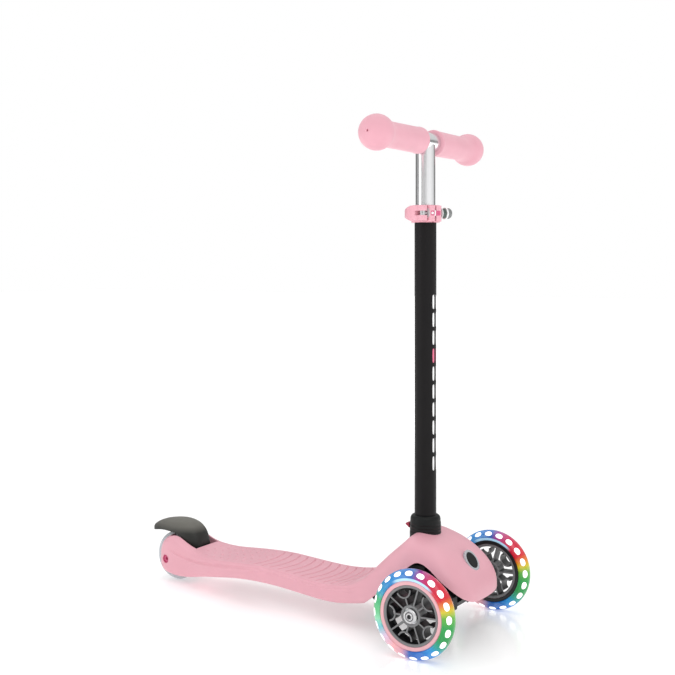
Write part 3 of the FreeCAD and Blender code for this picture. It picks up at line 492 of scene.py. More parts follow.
# ---- the deck and nose moulding --------------------------------------------------
# Each station: x, half width, top, height of the widest line, bottom,
# squareness above and below that line. They are the CAD source's stations.
DECK_STATIONS = [
    (-537.5, 10, 48, 40, 31, 2.4, 2.4),
    (-535, 22, 60, 40, 24, 3.0, 3.0),
    (-527, 30, 71, 40, 17.5, 4.2, 4.2),
    (-512, 34.5, 79, 41, 14.5, 5.5, 5.5),
    (-494, 37, 81, 42, 13.5, 6.0, 6.0),
    (-475, 38.5, 72.5, 42, 14.5, 6.0, 6.0),
    (-455, 41, 64.5, 43, 17.5, 6.0, 5.5),
    (-430, 46.5, 59.5, 45, 22.5, 6.5, 5.0),
    (-400, 50.5, 58.8, 47, 27, 6.5, 5.0),
    (-360, 52, 60.5, 49, 32, 6.5, 5.0),
    (-320, 51.5, 61.5, 50, 33, 6.5, 5.0),
    (-280, 51.5, 60, 48, 31.5, 6.5, 5.0),
    (-240, 52.5, 57, 45, 28, 6.5, 5.0),
    (-200, 56.5, 55, 42, 26, 6.5, 5.0),
    (-170, 60.5, 57, 42, 27, 6.5, 5.0),
    (-145, 64, 62.5, 44, 30.5, 5.8, 4.4),
    (-122, 66.5, 76, 48, 34, 4.8, 3.8),
    (-100, 68.5, 97, 54, 37.5, 4.2, 3.2),
    (-80, 69.5, 117, 58, 40, 3.9, 2.8),
    (-62, 70, 133, 61, 42.5, 3.9, 2.4),
]
NOSE_FRONT_X = 48.0
NOSE_HALF_W = 70.0
NOSE_BELT_Z = 63.0
NOSE_TOP_Z = 142.0
NOSE_CHIN_Z = 45.5
NOSE_STEPS = 9
NOSE_HOLLOW_X = 36.0
DECK_WALL = 4.5
TREAD_REAR_X = -448.0
TREAD_FRONT_X = -146.0
TREAD_PITCH = 15.0
FIRST_GROOVE_X = -318.0
ARC_DEPTH = 11.5              # how far a groove's middle runs ahead of its ends
ARC_HALF_W = 47.0


def nose_station(share):
    x = COLUMN_X + (NOSE_FRONT_X - COLUMN_X) * math.sin(share * math.pi / 2)
    along = (x - COLUMN_X) / (NOSE_FRONT_X - COLUMN_X)
    flare_start = -27.0
    flare = max(0.0, (x - flare_start) / (NOSE_FRONT_X - flare_start))
    top = NOSE_BELT_Z + (NOSE_TOP_Z - NOSE_BELT_Z) * (1 - along ** 1.66) ** (1 / 1.66)
    half = NOSE_HALF_W * (1 - flare ** 3.6) ** (1 / 3.6)
    chin = NOSE_BELT_Z - (NOSE_BELT_Z - NOSE_CHIN_Z) * (1 - along ** 3.5) ** (1 / 3.5)
    return (x, half, top, NOSE_BELT_Z, chin, 3.9, 2.0)


def spline_rows(rows, steps_between):
    """Natural cubic spline through table rows, with steps_between[i] steps after row i."""
    rows = np.array(rows, float)
    count = len(rows)
    system = np.eye(count)
    bend = np.zeros_like(rows)
    for i in range(1, count - 1):
        system[i, i - 1:i + 2] = (1, 4, 1)
        bend[i] = 6 * (rows[i + 1] - 2 * rows[i] + rows[i - 1])
    curve = np.linalg.solve(system, bend)
    finer = []
    for i in range(count - 1):
        for k in range(steps_between[i]):
            f = k / steps_between[i]
            g = 1 - f
            finer.append(g * rows[i] + f * rows[i + 1]
                         + (g ** 3 - g) * curve[i] / 6 + (f ** 3 - f) * curve[i + 1] / 6)
    finer.append(rows[-1])
    return np.array(finer)


def skin_stations(fine_step, coarse_step):
    nose = [nose_station(k / NOSE_STEPS) for k in range(NOSE_STEPS)] + [nose_station(0.985)]
    rows = DECK_STATIONS + nose
    steps = []
    for a, b in zip(rows, rows[1:]):
        inside_tread = TREAD_REAR_X - 10 < a[0] and b[0] < TREAD_FRONT_X + 10
        size = fine_step if inside_tread else coarse_step
        steps.append(max(4, int((b[0] - a[0]) / size)))
    return spline_rows(rows, steps)


def half_oval(half, rise, power, start, count):
    """Evenly spaced points on half of a squared oval, from angle start through half a turn."""
    angle = np.linspace(0, math.pi, 721) + start
    c = np.abs(np.cos(angle))
    s = np.abs(np.sin(angle))
    radius = (c ** power / half ** power + s ** power / rise ** power) ** (-1 / power)
    y = radius * np.cos(angle)
    z = radius * np.sin(angle)
    walked = np.concatenate([[0], np.cumsum(np.hypot(np.diff(y), np.diff(z)))])
    stops = np.linspace(0, walked[-1], count + 1)[:-1]
    return np.interp(stops, walked, y), np.interp(stops, walked, z)


def skin_ring(station, count_up, count_down, wall=0.0):
    x, half, top, belt, bottom, square_up, square_down = station
    y_up, z_up = half_oval(half - wall, top - wall - belt, square_up, 0.0, count_up)
    y_down, z_down = half_oval(half - wall, belt - bottom - wall, square_down, math.pi, count_down)
    return np.concatenate([y_up, y_down]), belt + np.concatenate([z_up, z_down])


def smooth_step(value):
    value = np.clip(value, 0.0, 1.0)
    return value * value * (3 - 2 * value)


def tread_depth(x, y, half):
    """Curved grooves in front, rows of dimples behind, on the foot board's top."""
    lead = ARC_DEPTH * (1 - (y / ARC_HALF_W) ** 2)
    from_first = x - lead - (FIRST_GROOVE_X - ARC_DEPTH)
    nearest = np.round(from_first / TREAD_PITCH)
    off = from_first - nearest * TREAD_PITCH
    inside = smooth_step((half - 7.5 - np.abs(y)) / 2.0)
    groove = 2.0 * (1 - smooth_step(np.abs(off) / 1.7))
    row_pitch = 17.5
    row_off = y - np.round(y / row_pitch) * row_pitch
    away = np.hypot(off / 2.0, row_off / 3.6)
    dimple = 1.9 * (1 - smooth_step(away))
    groove_part = smooth_step(nearest + 1.0)
    ahead = smooth_step((TREAD_FRONT_X - x) / 4.0)
    behind = smooth_step((x - TREAD_REAR_X) / 4.0)
    return inside * ahead * behind * (groove * groove_part + dimple * (1 - groove_part))


# The crease line along the flank: x and height.
CREASE = [
    (-505, 55), (-487, 49.6), (-463, 45.0), (-440, 44.8), (-411, 46.5), (-380, 48.5),
    (-350, 51.3), (-320, 53.6), (-290, 54.6), (-260, 52.8), (-230, 50.3), (-195, 48.4),
    (-167, 48.9), (-140, 53), (-115, 62)]


def edge_relief(x, y, z, half, top, belt):
    """The lip round the foot board and the crease on the flank below it."""
    lip_y = half - 4.0
    lip_z = belt + (top - belt) * 0.845
    lip_away = np.hypot(np.abs(y) - lip_y, z - lip_z)
    lip_on = float(smooth_step((x + 425) / 50) * smooth_step((-92 - x) / 30))
    lip = lip_on * (0.75 * np.exp(-(lip_away / 1.7) ** 2))
    crease_z = np.interp(x, [p[0] for p in CREASE], [p[1] for p in CREASE])
    crease_on = float(smooth_step((x + 512) / 14) * smooth_step((-118 - x) / 26))
    flank = smooth_step((np.abs(y) - half * 0.78) / (half * 0.1))
    ridge = 1.2 * np.exp(-((z - crease_z) / 1.3) ** 2)
    ledge = ridge - 1.0 * np.exp(-((z - crease_z - 3.2) / 1.5) ** 2)
    return lip + crease_on * flank * ledge


def make_skin(name, detailed):
    """The closed outer skin, with its relief when detailed."""
    stations = skin_stations(0.8 if detailed else 6.0, 2.0 if detailed else 6.0)
    count_up, count_down = (190, 50) if detailed else (64, 24)
    points = []
    for station in stations:
        x, half, top, belt = station[:4]
        y, z = skin_ring(station, count_up, count_down)
        if detailed:
            out_y = np.roll(z, -1) - np.roll(z, 1)
            out_z = np.roll(y, 1) - np.roll(y, -1)
            size = np.hypot(out_y, out_z)
            relief = edge_relief(x, y, z, half, top, belt)
            on_top = smooth_step((out_z / size - 0.5) / 0.3)
            relief = relief - on_top * tread_depth(x, y, half)
            y = y + relief * out_y / size
            z = z + relief * out_z / size
        points.extend(zip([x] * len(y), y, z))
    made = mesh_object(name, points, ring_faces(len(stations), count_up + count_down, True), [pink_plastic])
    facing_out(made)
    return made


def make_hollow(name, x0, x1, wall, floor_z, mat):
    """The moulding's hollow, open below: follows the skin's roof and flanks."""
    stations = [s for s in skin_stations(4.0, 4.0) if x0 <= s[0] <= x1]
    count = 40
    points = []
    for station in stations:
        half = station[1]
        belt = station[3]
        y, z = half_oval(half - wall, station[2] - wall - belt, station[5], 0.0, count)
        low = (half - wall) * 0.86
        points.extend(zip([station[0]] * count, y, z + belt))
        points.append((station[0], -(half - wall), belt))
        points.append((station[0], -low, floor_z))
        points.append((station[0], low, floor_z))
    made = mesh_object(name, points, ring_faces(len(stations), count + 3, True), [mat])
    facing_out(made)
    return made


ARCH_EDGE = [(-131, 30), (-110, 44), (-88, 62), (-62, 85), (-42, 103), (-27, 111),
             (-10, 105), (6, 93), (24, 79), (42, 64), (62, 47)]
CHIN_EDGE = ARCH_EDGE[-4:]
ARCH_Y = 47.0                 # the arches are cut away outside this
UNDER_Z = 10.0


def arch_cutters():
    """The wheel arches and the sloping chin, closed well below the moulding."""
    smooth = [tuple(row) for row in spline_rows(ARCH_EDGE, [6] * (len(ARCH_EDGE) - 1))]
    arch = smooth + [(62, UNDER_Z), (-131, UNDER_Z)]
    return [side_prism("arch_left", arch, ARCH_Y, 90),
            side_prism("arch_right", arch, -90, -ARCH_Y),
            side_prism("chin", CHIN_EDGE + [(62, UNDER_Z), (6, UNDER_Z)], -90, 90)]


LOCK_SLOPE = math.radians(34.5)
LOCK_OUT = Vector((math.cos(LOCK_SLOPE), 0, math.sin(LOCK_SLOPE)))
LOCK_CENTRE = Vector((23.8, 0, 106.8))


SOCKET_HOLE_R = 20.05
LOCK_HOLE_R = 13.25
BEZEL_SEAT_R = 15.7
AXLE_HOLE_R = 4.05
RECESS_R = 7.0
SLOT_HALF_W = 13.5            # half width of the rear wheel's slot
NOTCH_HALF_W = 28.5
NOTCH_EDGE = [(-453, 95), (-455, 60), (-459, 47), (-470, 47), (-487, 60), (-510, 76), (-518, 95)]


def make_deck():
    deck = make_skin("deck_skin", True)
    tools = arch_cutters() + [
        make_hollow("hollow", -420, NOSE_HOLLOW_X, DECK_WALL, 5.0, pink_plastic),
        rod("socket_hole", SOCKET_HOLE_R, (COLUMN_X, 0, 60), (COLUMN_X, 0, 190)),
        rod("lock_hole", LOCK_HOLE_R, LOCK_CENTRE - LOCK_OUT * 30, LOCK_CENTRE + LOCK_OUT * 20),
        rod("bezel_seat", BEZEL_SEAT_R, LOCK_CENTRE - LOCK_OUT * 1.6, LOCK_CENTRE + LOCK_OUT * 20),
        rod("wheel_well", REAR_Z + 4.5, (REAR_X, -SLOT_HALF_W, REAR_Z), (REAR_X, SLOT_HALF_W, REAR_Z), 96),
        block("well_back", -560, REAR_X, -SLOT_HALF_W, SLOT_HALF_W, -5, 100),
        side_prism("notch", NOTCH_EDGE, -NOTCH_HALF_W, NOTCH_HALF_W),
        rod("axle_hole", AXLE_HOLE_R, (REAR_X, -60, REAR_Z), (REAR_X, 60, REAR_Z)),
        rod("recess_left", RECESS_R, (REAR_X, 26, REAR_Z), (REAR_X, 60, REAR_Z)),
        rod("recess_right", RECESS_R, (REAR_X, -60, REAR_Z), (REAR_X, -26, REAR_Z)),
    ]
    combine(deck, "DIFFERENCE", tools)
    ride_as(deck, "chassis", "pink_plastic", "deck_shell")


def make_arch_shade_sheet():
    """A black sheet inside the nose, seen through the wheel arches: painted shade where the pink cavity walls
    lie in shadow.
    """
    liner = make_hollow("arch_shade_sheet", -150, NOSE_HOLLOW_X - 1, DECK_WALL + 0.02, 34.0, black_plastic)
    combine(liner, "INTERSECT", [make_skin("liner_limit", False)])
    tools = arch_cutters() + [
        make_hollow("liner_inside", -156, NOSE_HOLLOW_X - 1.5, DECK_WALL + 0.36, 30.0, black_plastic),
        rod("liner_socket", SOCKET_HOLE_R, (COLUMN_X, 0, 60), (COLUMN_X, 0, 190)),
        rod("liner_lock", LOCK_HOLE_R, LOCK_CENTRE - LOCK_OUT * 30, LOCK_CENTRE + LOCK_OUT * 20),
    ]
    combine(liner, "DIFFERENCE", tools)
    ride_as(liner, "chassis", "black_plastic")


def make_recess_cups():
    """Cups round the rear axle's ends in the darker shaded pink: painted shade lining the recesses."""
    for side, side_name in ((1, "left"), (-1, "right")):
        profile = [(4.2, side * 26.1), (6.9, side * 26.1), (6.9, side * 32.4), (6.3, side * 32.4),
                   (6.3, side * 26.6), (4.2, side * 26.6)]
        cup = lathe("axle_cup_" + side_name, profile, (REAR_X, 0, REAR_Z), "y", [shaded_pink], steps=48)
        ride_as(cup, "chassis", "pink_plastic")


make_deck()
make_arch_shade_sheet()
make_recess_cups()


# ---- front wheels ------------------------------------------------------------------
CORE_INNER_R = 41.0
RIM_INNER_R = 37.0
HUB_R = 14.5
SPOKE_COUNT = 5
LAMP_COUNT = 20
LAMP_R = 56.4
LAMP_TURN = 0.06
TYRE_HALF_W = 12.2


def rib(outline_points, half_width, y_low, y_high):
    """A thin wall along a path in the XZ plane, with softened crests at both ends of its height."""
    soft = 0.5
    levels = [(y_low, half_width - soft), (y_low + soft, half_width), (y_high - soft, half_width),
              (y_high, half_width - soft)]
    path = np.array(outline_points, float)
    ahead = np.gradient(path, axis=0)
    ahead /= np.linalg.norm(ahead, axis=1)[:, None]
    normal = np.stack([-ahead[:, 1], ahead[:, 0]], axis=1)
    points = []
    for y, width in levels:
        for sign in (1, -1):
            row = path + normal * (sign * width)
            row = row if sign > 0 else row[::-1]
            points.extend((x, y, z) for x, z in row)
    count = 2 * len(path)
    faces = ring_faces(4, count)
    # Walls take the second material, the painted shade; crests and end faces take the first, the painted lit
    # grey.
    kinds = [1] * len(faces)
    half = len(path)
    for level, flip in ((0, True), (3, False)):
        base = level * count
        for k in range(half - 1):
            quad = (base + k, base + k + 1, base + count - 2 - k, base + count - 1 - k)
            faces.append(tuple(reversed(quad)) if flip else quad)
            kinds.append(0)
    crest_rows = (0, 2)
    for index in range(3 * count):
        if index // count in crest_rows:
            kinds[index] = 0
    return points, faces, kinds


def rim_paths():
    """The paths of the five straight ribs and the five forked ribs, round the origin."""
    paths = []
    step = 2 * math.pi / SPOKE_COUNT
    for k in range(SPOKE_COUNT):
        straight = math.radians(-70) - k * step
        forked = math.radians(-34) - k * step
        c, s = math.cos(straight), math.sin(straight)
        paths.append([(r * c, r * s) for r in (HUB_R - 1, 22.0, 30.0, RIM_INNER_R + 1)])
        c, s = math.cos(forked), math.sin(forked)
        paths.append([(r * c, r * s) for r in (HUB_R - 1, 20.0, 24.5)])
        loop = []
        steps = 16
        for n in range(steps + 1):
            turn = math.radians(-79 + 158 * n / steps)
            along = 34.5 - 10.2 * math.cos(turn)
            aside = 10.2 * math.sin(turn)
            loop.append((along * c - aside * s, along * s + aside * c))
        paths.append(loop)
    return paths


def make_rim(side_name, y):
    points = []
    faces = []
    kinds = []
    for path in rim_paths():
        more_points, more_faces, more_kinds = rib(path, 1.15, -9.6, 9.6)
        base = len(points)
        points.extend((px, y + py, WHEEL_Z + pz) for px, py, pz in more_points)
        faces.extend(tuple(base + v for v in face) for face in more_faces)
        kinds.extend(more_kinds)
    rim = mesh_object("rim_ribs_" + side_name, points, faces, [rim_lit_grey, rim_shade_black], kinds)
    facing_out(rim)
    ride_as(rim, "front_wheel_" + side_name, "grey_plastic")
    h = 10.6
    profile = [(RIM_INNER_R, -h + 1.2), (RIM_INNER_R + 0.5, -h + 0.4), (38.4, -h), (CORE_INNER_R - 0.7, -h),
               (CORE_INNER_R, -h + 0.6), (CORE_INNER_R, h - 0.6), (CORE_INNER_R - 0.7, h), (38.4, h),
               (RIM_INNER_R + 0.5, h - 0.4), (RIM_INNER_R, h - 1.2)]
    # The ring's inner face takes the near-black painted shade.
    bands = [0] * (len(profile) - 1) + [1]
    ring = lathe("rim_ring_" + side_name, profile, (0, y, WHEEL_Z), "y", [rim_lit_grey, rim_shade_black], bands, 144)
    ride_as(ring, "front_wheel_" + side_name, "grey_plastic", "wheel_rim_" + side_name)
    hub = [(11.05, -10.2), (12.4, -10.5), (13.8, -10.5), (HUB_R, -9.9), (HUB_R, 9.9), (13.8, 10.5),
           (12.4, 10.5), (11.05, 10.2), (11.05, 2.0), (8.4, 2.0), (8.4, -2.0), (11.05, -2.0)]
    barrel = lathe("rim_hub_" + side_name, hub, (0, y, WHEEL_Z), "y", [rim_lit_grey], steps=72)
    ride_as(barrel, "front_wheel_" + side_name, "grey_plastic")


def make_core(side_name, y):
    h = 11.0
    profile = [(41.05, -h + 0.5), (41.6, -h), (45.6, -h), (46.45, -h + 0.8), (46.45, h - 0.8), (45.6, h),
               (41.6, h), (41.05, h - 0.5)]
    # The pink band's inboard faces are painted near-black shade instead of pink.
    inboard = [1, 1, 1] + [0] * 5 if y > 0 else [0] * 3 + [0, 1, 1, 1, 0]
    core = lathe("pink_band_" + side_name, profile, (0, y, WHEEL_Z), "y", [pink_core, rim_shade_black], inboard, 144)
    ride_as(core, "front_wheel_" + side_name, "pink_plastic", "wheel_core_" + side_name)


def make_tyre(side_name, y):
    h = TYRE_HALF_W
    inner = 46.6
    profile = [(inner, -h + 1.4), (inner + 0.6, -h + 0.4), (TYRE_R - h + 0.4, -h)]
    steps = 22
    for k in range(1, steps):
        angle = math.pi * (k / steps - 0.5)
        profile.append((TYRE_R - h + h * math.cos(angle), h * math.sin(angle)))
    profile += [(TYRE_R - h + 0.4, h), (inner + 0.6, h - 0.4), (inner, h - 1.4)]
    tyre = lathe("clear_tyre_" + side_name, profile, (0, y, WHEEL_Z), "y", [tyre_lit], steps=160)
    ride_as(tyre, "front_wheel_" + side_name, "clear_tyre", "tyre_" + side_name)


def add_patch(points, faces, to_space, half_u, half_v, power, lift, sink):
    """A thin domed patch with a rounded outline; to_space lays it on a curved surface."""
    rings = 6
    around = 32
    base = len(points)
    outline = []
    for j in range(around):
        turn = 2 * math.pi * j / around
        c, s = math.cos(turn), math.sin(turn)
        outline.append((half_u * math.copysign(abs(c) ** (2 / power), c),
                        half_v * math.copysign(abs(s) ** (2 / power), s)))
    for i in range(1, rings + 1):
        share = i / rings
        for u, v in outline:
            points.append(to_space(u * share, v * share, lift * (1 - share ** 6)))
    for u, v in outline:
        points.append(to_space(u, v, -sink))
    for face in ring_faces(rings + 1, around, True):
        faces.append(tuple(base + corner for corner in face))


def make_lamps(side_name, y):
    """The lamp strip, and a long oval window for each lamp on both faces of the tyre."""
    h = TYRE_HALF_W

    def on_tyre(lamp, face):
        centre_turn = 2 * math.pi * lamp / LAMP_COUNT + LAMP_TURN

        def to_space(u, v, height):
            radial = LAMP_R + v
            angle = centre_turn + u / LAMP_R
            wall = h * math.sqrt(max(0.0, 1 - ((radial - (TYRE_R - h)) / h) ** 2))
            return (radial * math.cos(angle), y + face * (wall + height), WHEEL_Z + radial * math.sin(angle))
        return to_space

    points = []
    faces = []
    for lamp in range(LAMP_COUNT):
        for face in (1, -1):
            add_patch(points, faces, on_tyre(lamp, face), 5.6, 2.7, 2.3, 0.2, 0.5)
    lenses = mesh_object("lamp_lenses_" + side_name, points, faces, [lens_lit], sharp_degrees=70.0)
    facing_out(lenses)
    ride_as(lenses, "front_wheel_" + side_name, "lamp")
    strip = [(46.62, -5.0), (49.3, -5.0), (49.8, -4.5), (49.8, 4.5), (49.3, 5.0), (46.62, 5.0)]
    band = lathe("lamp_strip_" + side_name, strip, (0, y, WHEEL_Z), "y", [pale_plastic], steps=120)
    ride_as(band, "front_wheel_" + side_name, "lamp", "light_ring_" + side_name)


for wheel_side, wheel_sign in (("left", 1), ("right", -1)):
    make_rim(wheel_side, wheel_sign * HALF_TRACK)
    make_core(wheel_side, wheel_sign * HALF_TRACK)
    make_tyre(wheel_side, wheel_sign * HALF_TRACK)
    make_lamps(wheel_side, wheel_sign * HALF_TRACK)


# ---- rear wheel ----------------------------------------------------------------------
def make_rear_wheel():
    h = 10.9
    inner = 27.1
    shoulder = 8.5
    profile = [(inner, -h + 1.2), (inner + 0.6, -h + 0.3), (REAR_Z - shoulder, -h)]
    steps = 18
    for k in range(1, steps):
        angle = math.pi * (k / steps - 0.5)
        profile.append((REAR_Z - shoulder + shoulder * math.cos(angle), h * math.sin(angle)))
    profile += [(REAR_Z - shoulder, h), (inner + 0.6, h - 0.3), (inner, h - 1.2)]
    tyre = lathe("rear_clear_tyre", profile, (REAR_X, 0, REAR_Z), "y", [tyre_plain], steps=128)
    ride_as(tyre, "rear_wheel", "clear_tyre", "rear_tyre")


make_rear_wheel()


# ---- column socket ------------------------------------------------------------------
def make_bell():
    """The ridged bell at the column's foot, resting on the nose."""
    bore = TUBE_R + 0.06
    foot = 118.0
    shoulder_z = 157.6
    profile = [(bore, foot), (23.2, foot), (22.95, 138.0)]
    for k in range(3):
        z = 140.0 + 4.6 * k
        profile += [(22.85, z), (22.35, z + 0.5), (22.35, z + 1.3), (22.75, z + 1.8)]
    profile += [(22.5, 153.6), (22.0, 155.0), (22.0, shoulder_z)]
    shoulder_r = 5.0
    steps = 8
    for k in range(1, steps + 1):
        angle = math.pi / 2 * k / steps
        profile.append((22.0 - shoulder_r * (1 - math.cos(angle)),
                        SOCKET_TOP_Z - (SOCKET_TOP_Z - shoulder_z) * (1 - math.sin(angle))))
    profile.append((bore, SOCKET_TOP_Z))
    bell = lathe("column_bell", profile, (COLUMN_X, 0, 0), "z", [black_plastic], steps=120, sharp_degrees=50)
    nose = make_skin("nose_solid", False)
    bore_below = rod("sleeve_room", 20.06, (COLUMN_X, 0, 100), (COLUMN_X, 0, 139))
    combine(bell, "DIFFERENCE", [bore_below, nose], 50)
    sleeve = lathe("sleeve", [(bore, SOCKET_LOW_Z + 4), (20.0, SOCKET_LOW_Z + 4), (20.0, 142), (bore, 142)],
                   (COLUMN_X, 0, 0), "z", [black_plastic], steps=120)
    combine(bell, "UNION", [sleeve], 50)
    button_low = in_mm(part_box("release_button")[0].z) - 0.3
    button_high = in_mm(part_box("release_button")[1].z) + 0.3
    pocket = block("pocket", COLUMN_X - 30, COLUMN_X - 19.8, -7.8, 7.8, button_low, button_high)
    slot = block("slot", COLUMN_X - 30, COLUMN_X - 15, -6.1, 6.1, button_low + 0.9, button_high - 0.9)
    combine(bell, "DIFFERENCE", [pocket, slot], 50)
    ride_as(bell, "chassis", "black_plastic", "column_socket")


make_bell()


# ---- grips --------------------------------------------------------------------------
def make_grip(side_name, sign):
    bore = in_mm(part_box("crossbar")[1].z) - BAR_Z + 0.06
    ball_y = GRIP_OUT_Y - GRIP_BALL_R
    profile = [(bore, GRIP_IN_Y), (18.6, GRIP_IN_Y), (19.5, GRIP_IN_Y + 0.9), (19.6, GRIP_IN_Y + 2.4),
               (19.3, GRIP_IN_Y + 4.0), (18.9, GRIP_IN_Y + 6.5)]
    steps = 9
    for k in range(1, steps):
        share = k / steps
        profile.append((18.9 - 0.5 * math.sin(share * math.pi / 2), GRIP_IN_Y + 6.5 + share * 84))
    profile += [(18.4, 110.0), (18.5, 114.0), (18.9, 118.0), (19.6, 121.5)]
    start = math.pi - math.asin(20.4 / GRIP_BALL_R)
    steps = 22
    for k in range(steps):
        angle = start * (1 - k / steps)
        profile.append((GRIP_BALL_R * math.sin(angle), ball_y + GRIP_BALL_R * math.cos(angle)))
    profile += [(2.2, ball_y + GRIP_BALL_R * 0.996), (1.5, ball_y + GRIP_BALL_R - 0.7),
                (1.4, 136.5), (bore, 136.5)]
    grip = lathe("soft_grip_" + side_name, [(r, sign * a) for r, a in profile], (COLUMN_X, 0, BAR_Z), "y",
                 [pink_rubber], steps=112, sharp_degrees=60)
    ride_as(grip, "handlebar", "pink_rubber", "grip_" + side_name)


make_grip("left", 1)
make_grip("right", -1)


# ---- hub caps, clamp window and tube graphics ----------------------------------------
def make_hub_cap(side_name, sign):
    """The bright ringed cap over an axle bolt's head."""
    outer = in_mm(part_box("axle_bolt_left")[1].y)
    outline = [(0.6, -1.0), (2.9, -1.0), (3.1, 0.5), (4.4, 0.9), (5.0, 0.5), (5.3, -0.2), (6.1, -0.2),
               (6.5, 0.3), (7.6, 0.1), (8.0, -0.5), (8.7, -0.5), (9.1, -1.2), (10.0, -1.9), (10.0, -3.7),
               (9.6, -3.7), (0.6, -3.7)]
    # The centre hollow and the groove between the ridges take the near-black painted shade.
    bands = [2, 1, 0, 0, 1, 2, 0, 0, 1, 1, 0, 1, 1, 1, 1, 1]
    cap = lathe("hub_cap_" + side_name, [(r, sign * (outer + a)) for r, a in outline], (0, 0, WHEEL_Z), "y",
                [zinc_steel, hub_cap_metal, rim_shade_black], bands, steps=72)
    ride_as(cap, "truck", "steel", "axle_bolt_" + side_name)
    shank = [(0.6, 72.0), (3.95, 72.0), (3.95, outer - 3.6), (0.6, outer - 3.6)]
    bolt = lathe("axle_shank_" + side_name, [(r, sign * a) for r, a in shank], (0, 0, WHEEL_Z), "y",
                 [zinc_steel], steps=48)
    ride_as(bolt, "truck", "steel")


EAR_REACH = 27.5


def on_ear(u, v, height):
    """A place on the front of the clamp's ears: u towards the nut, v up."""
    reach = EAR_REACH + height
    x = reach * math.cos(CLAMP_TURN) - u * math.sin(CLAMP_TURN)
    y = reach * math.sin(CLAMP_TURN) + u * math.cos(CLAMP_TURN)
    return (COLUMN_X + x, y, CLAMP_Z + v)


def make_clamp_window():
    """A darker pink patch of painted shade where the clamp's slot is, with white painted highlights for the
    bolt's head and shank.
    """
    for name, mat, centre, half_u, half_v, power, lift in (
            ("clamp_slot_shade", shaded_pink, 0.0, 8.2, 3.6, 9.0, 0.12),
            ("bolt_head_highlight", white_print_and_highlight, -5.6, 2.1, 2.1, 2.0, 1.4),
            ("bolt_shank_highlight", white_print_and_highlight, -1.0, 1.1, 4.2, 6.0, 0.9)):
        points = []
        faces = []
        add_patch(points, faces, lambda u, v, h: on_ear(u + centre, v, h), half_u, half_v, power, lift, 0.4)
        piece = mesh_object(name, points, faces, [mat], sharp_degrees=70.0)
        facing_out(piece)
        ride_as(piece, "chassis", "pink_plastic")


BAR_COUNT = 10
PINK_BAR = 3
FIRST_BAR_Z = 474.0
BAR_PITCH = 26.0


def make_tube_graphics():
    """Plain paired bars printed down the front of the black tube."""
    marks = {"tube_bars_white": (white_print_and_highlight, []), "tube_bars_pink": (pink_ink, [])}
    for k in range(BAR_COUNT):
        kind = "tube_bars_pink" if k == PINK_BAR else "tube_bars_white"
        marks[kind][1].append(FIRST_BAR_Z - k * BAR_PITCH)
    for name, (mat, heights) in marks.items():
        points = []
        faces = []
        for z in heights:
            for aside in (-4.3, 4.3):
                def on_tube(u, v, height):
                    radius = TUBE_R + height
                    angle = (u + aside) / TUBE_R
                    return (COLUMN_X + radius * math.cos(angle), radius * math.sin(angle), z + v)
                add_patch(points, faces, on_tube, 1.9, 10.6, 3.0, 0.14, 0.1)
        bars = mesh_object(name, points, faces, [mat], sharp_degrees=70.0)
        facing_out(bars)
        ride_as(bars, "chassis", "black_paint")


make_hub_cap("left", 1)
make_hub_cap("right", -1)
make_clamp_window()
make_tube_graphics()


# ---- CAD nodes that stay: softened edges and their own finish ------------------------
FINISHES = (
    (pink_plastic, "deck_ribs clamp_collar clamp_lever"),
    (black_plastic, "steering_base truck_body lock_button tube_plug"),
    (zinc_steel, "kingpin kingpin_nut lock_spring clamp_skewer barrel_pin rear_bearings rear_spacers"),
    (zinc_steel, "fender_pin fender_spring wheel_bearings_left wheel_bearings_right"),
    (zinc_steel, "axle_spacers_left axle_spacers_right magnet_left magnet_right"),
    (black_rubber, "steering_bushings brake_pad"),
    (pale_plastic, "clamp_washers rear_core"),
    # The rear axle and its nut sit deep in the recesses and take the painted shade pink.
    (shaded_pink, "rear_axle rear_axle_nut"),
    (bright_ring, "lock_bezel"),
    (red_plastic, "release_button"),
    (black_paint, "lower_tube"),
    (nut_metal, "clamp_nut"),
    (drawn_aluminium, "upper_tube"),
    (bar_aluminium, "crossbar"),
    (fender_plastic, "brake_fender"),
)
SOFTENED = {"clamp_collar": 0.0006, "clamp_lever": 0.0008, "truck_body": 0.001, "steering_base": 0.001,
            "brake_fender": 0.0005, "release_button": 0.0004, "clamp_nut": 0.0003}


def dress(node, mat):
    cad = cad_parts[node]
    for material_slot in cad.material_slots:
        material_slot.material = mat
    if node in SOFTENED:
        weld = cad.modifiers.new("weld", "WELD")
        weld.merge_threshold = 0.000002
        soft = cad.modifiers.new("soft_edges", "BEVEL")
        soft.width = SOFTENED[node]
        soft.segments = 3
        soft.limit_method = "ANGLE"
        soft.angle_limit = math.radians(35)


for finish, node_names in FINISHES:
    for node_name in node_names.split():
        dress(node_name, finish)


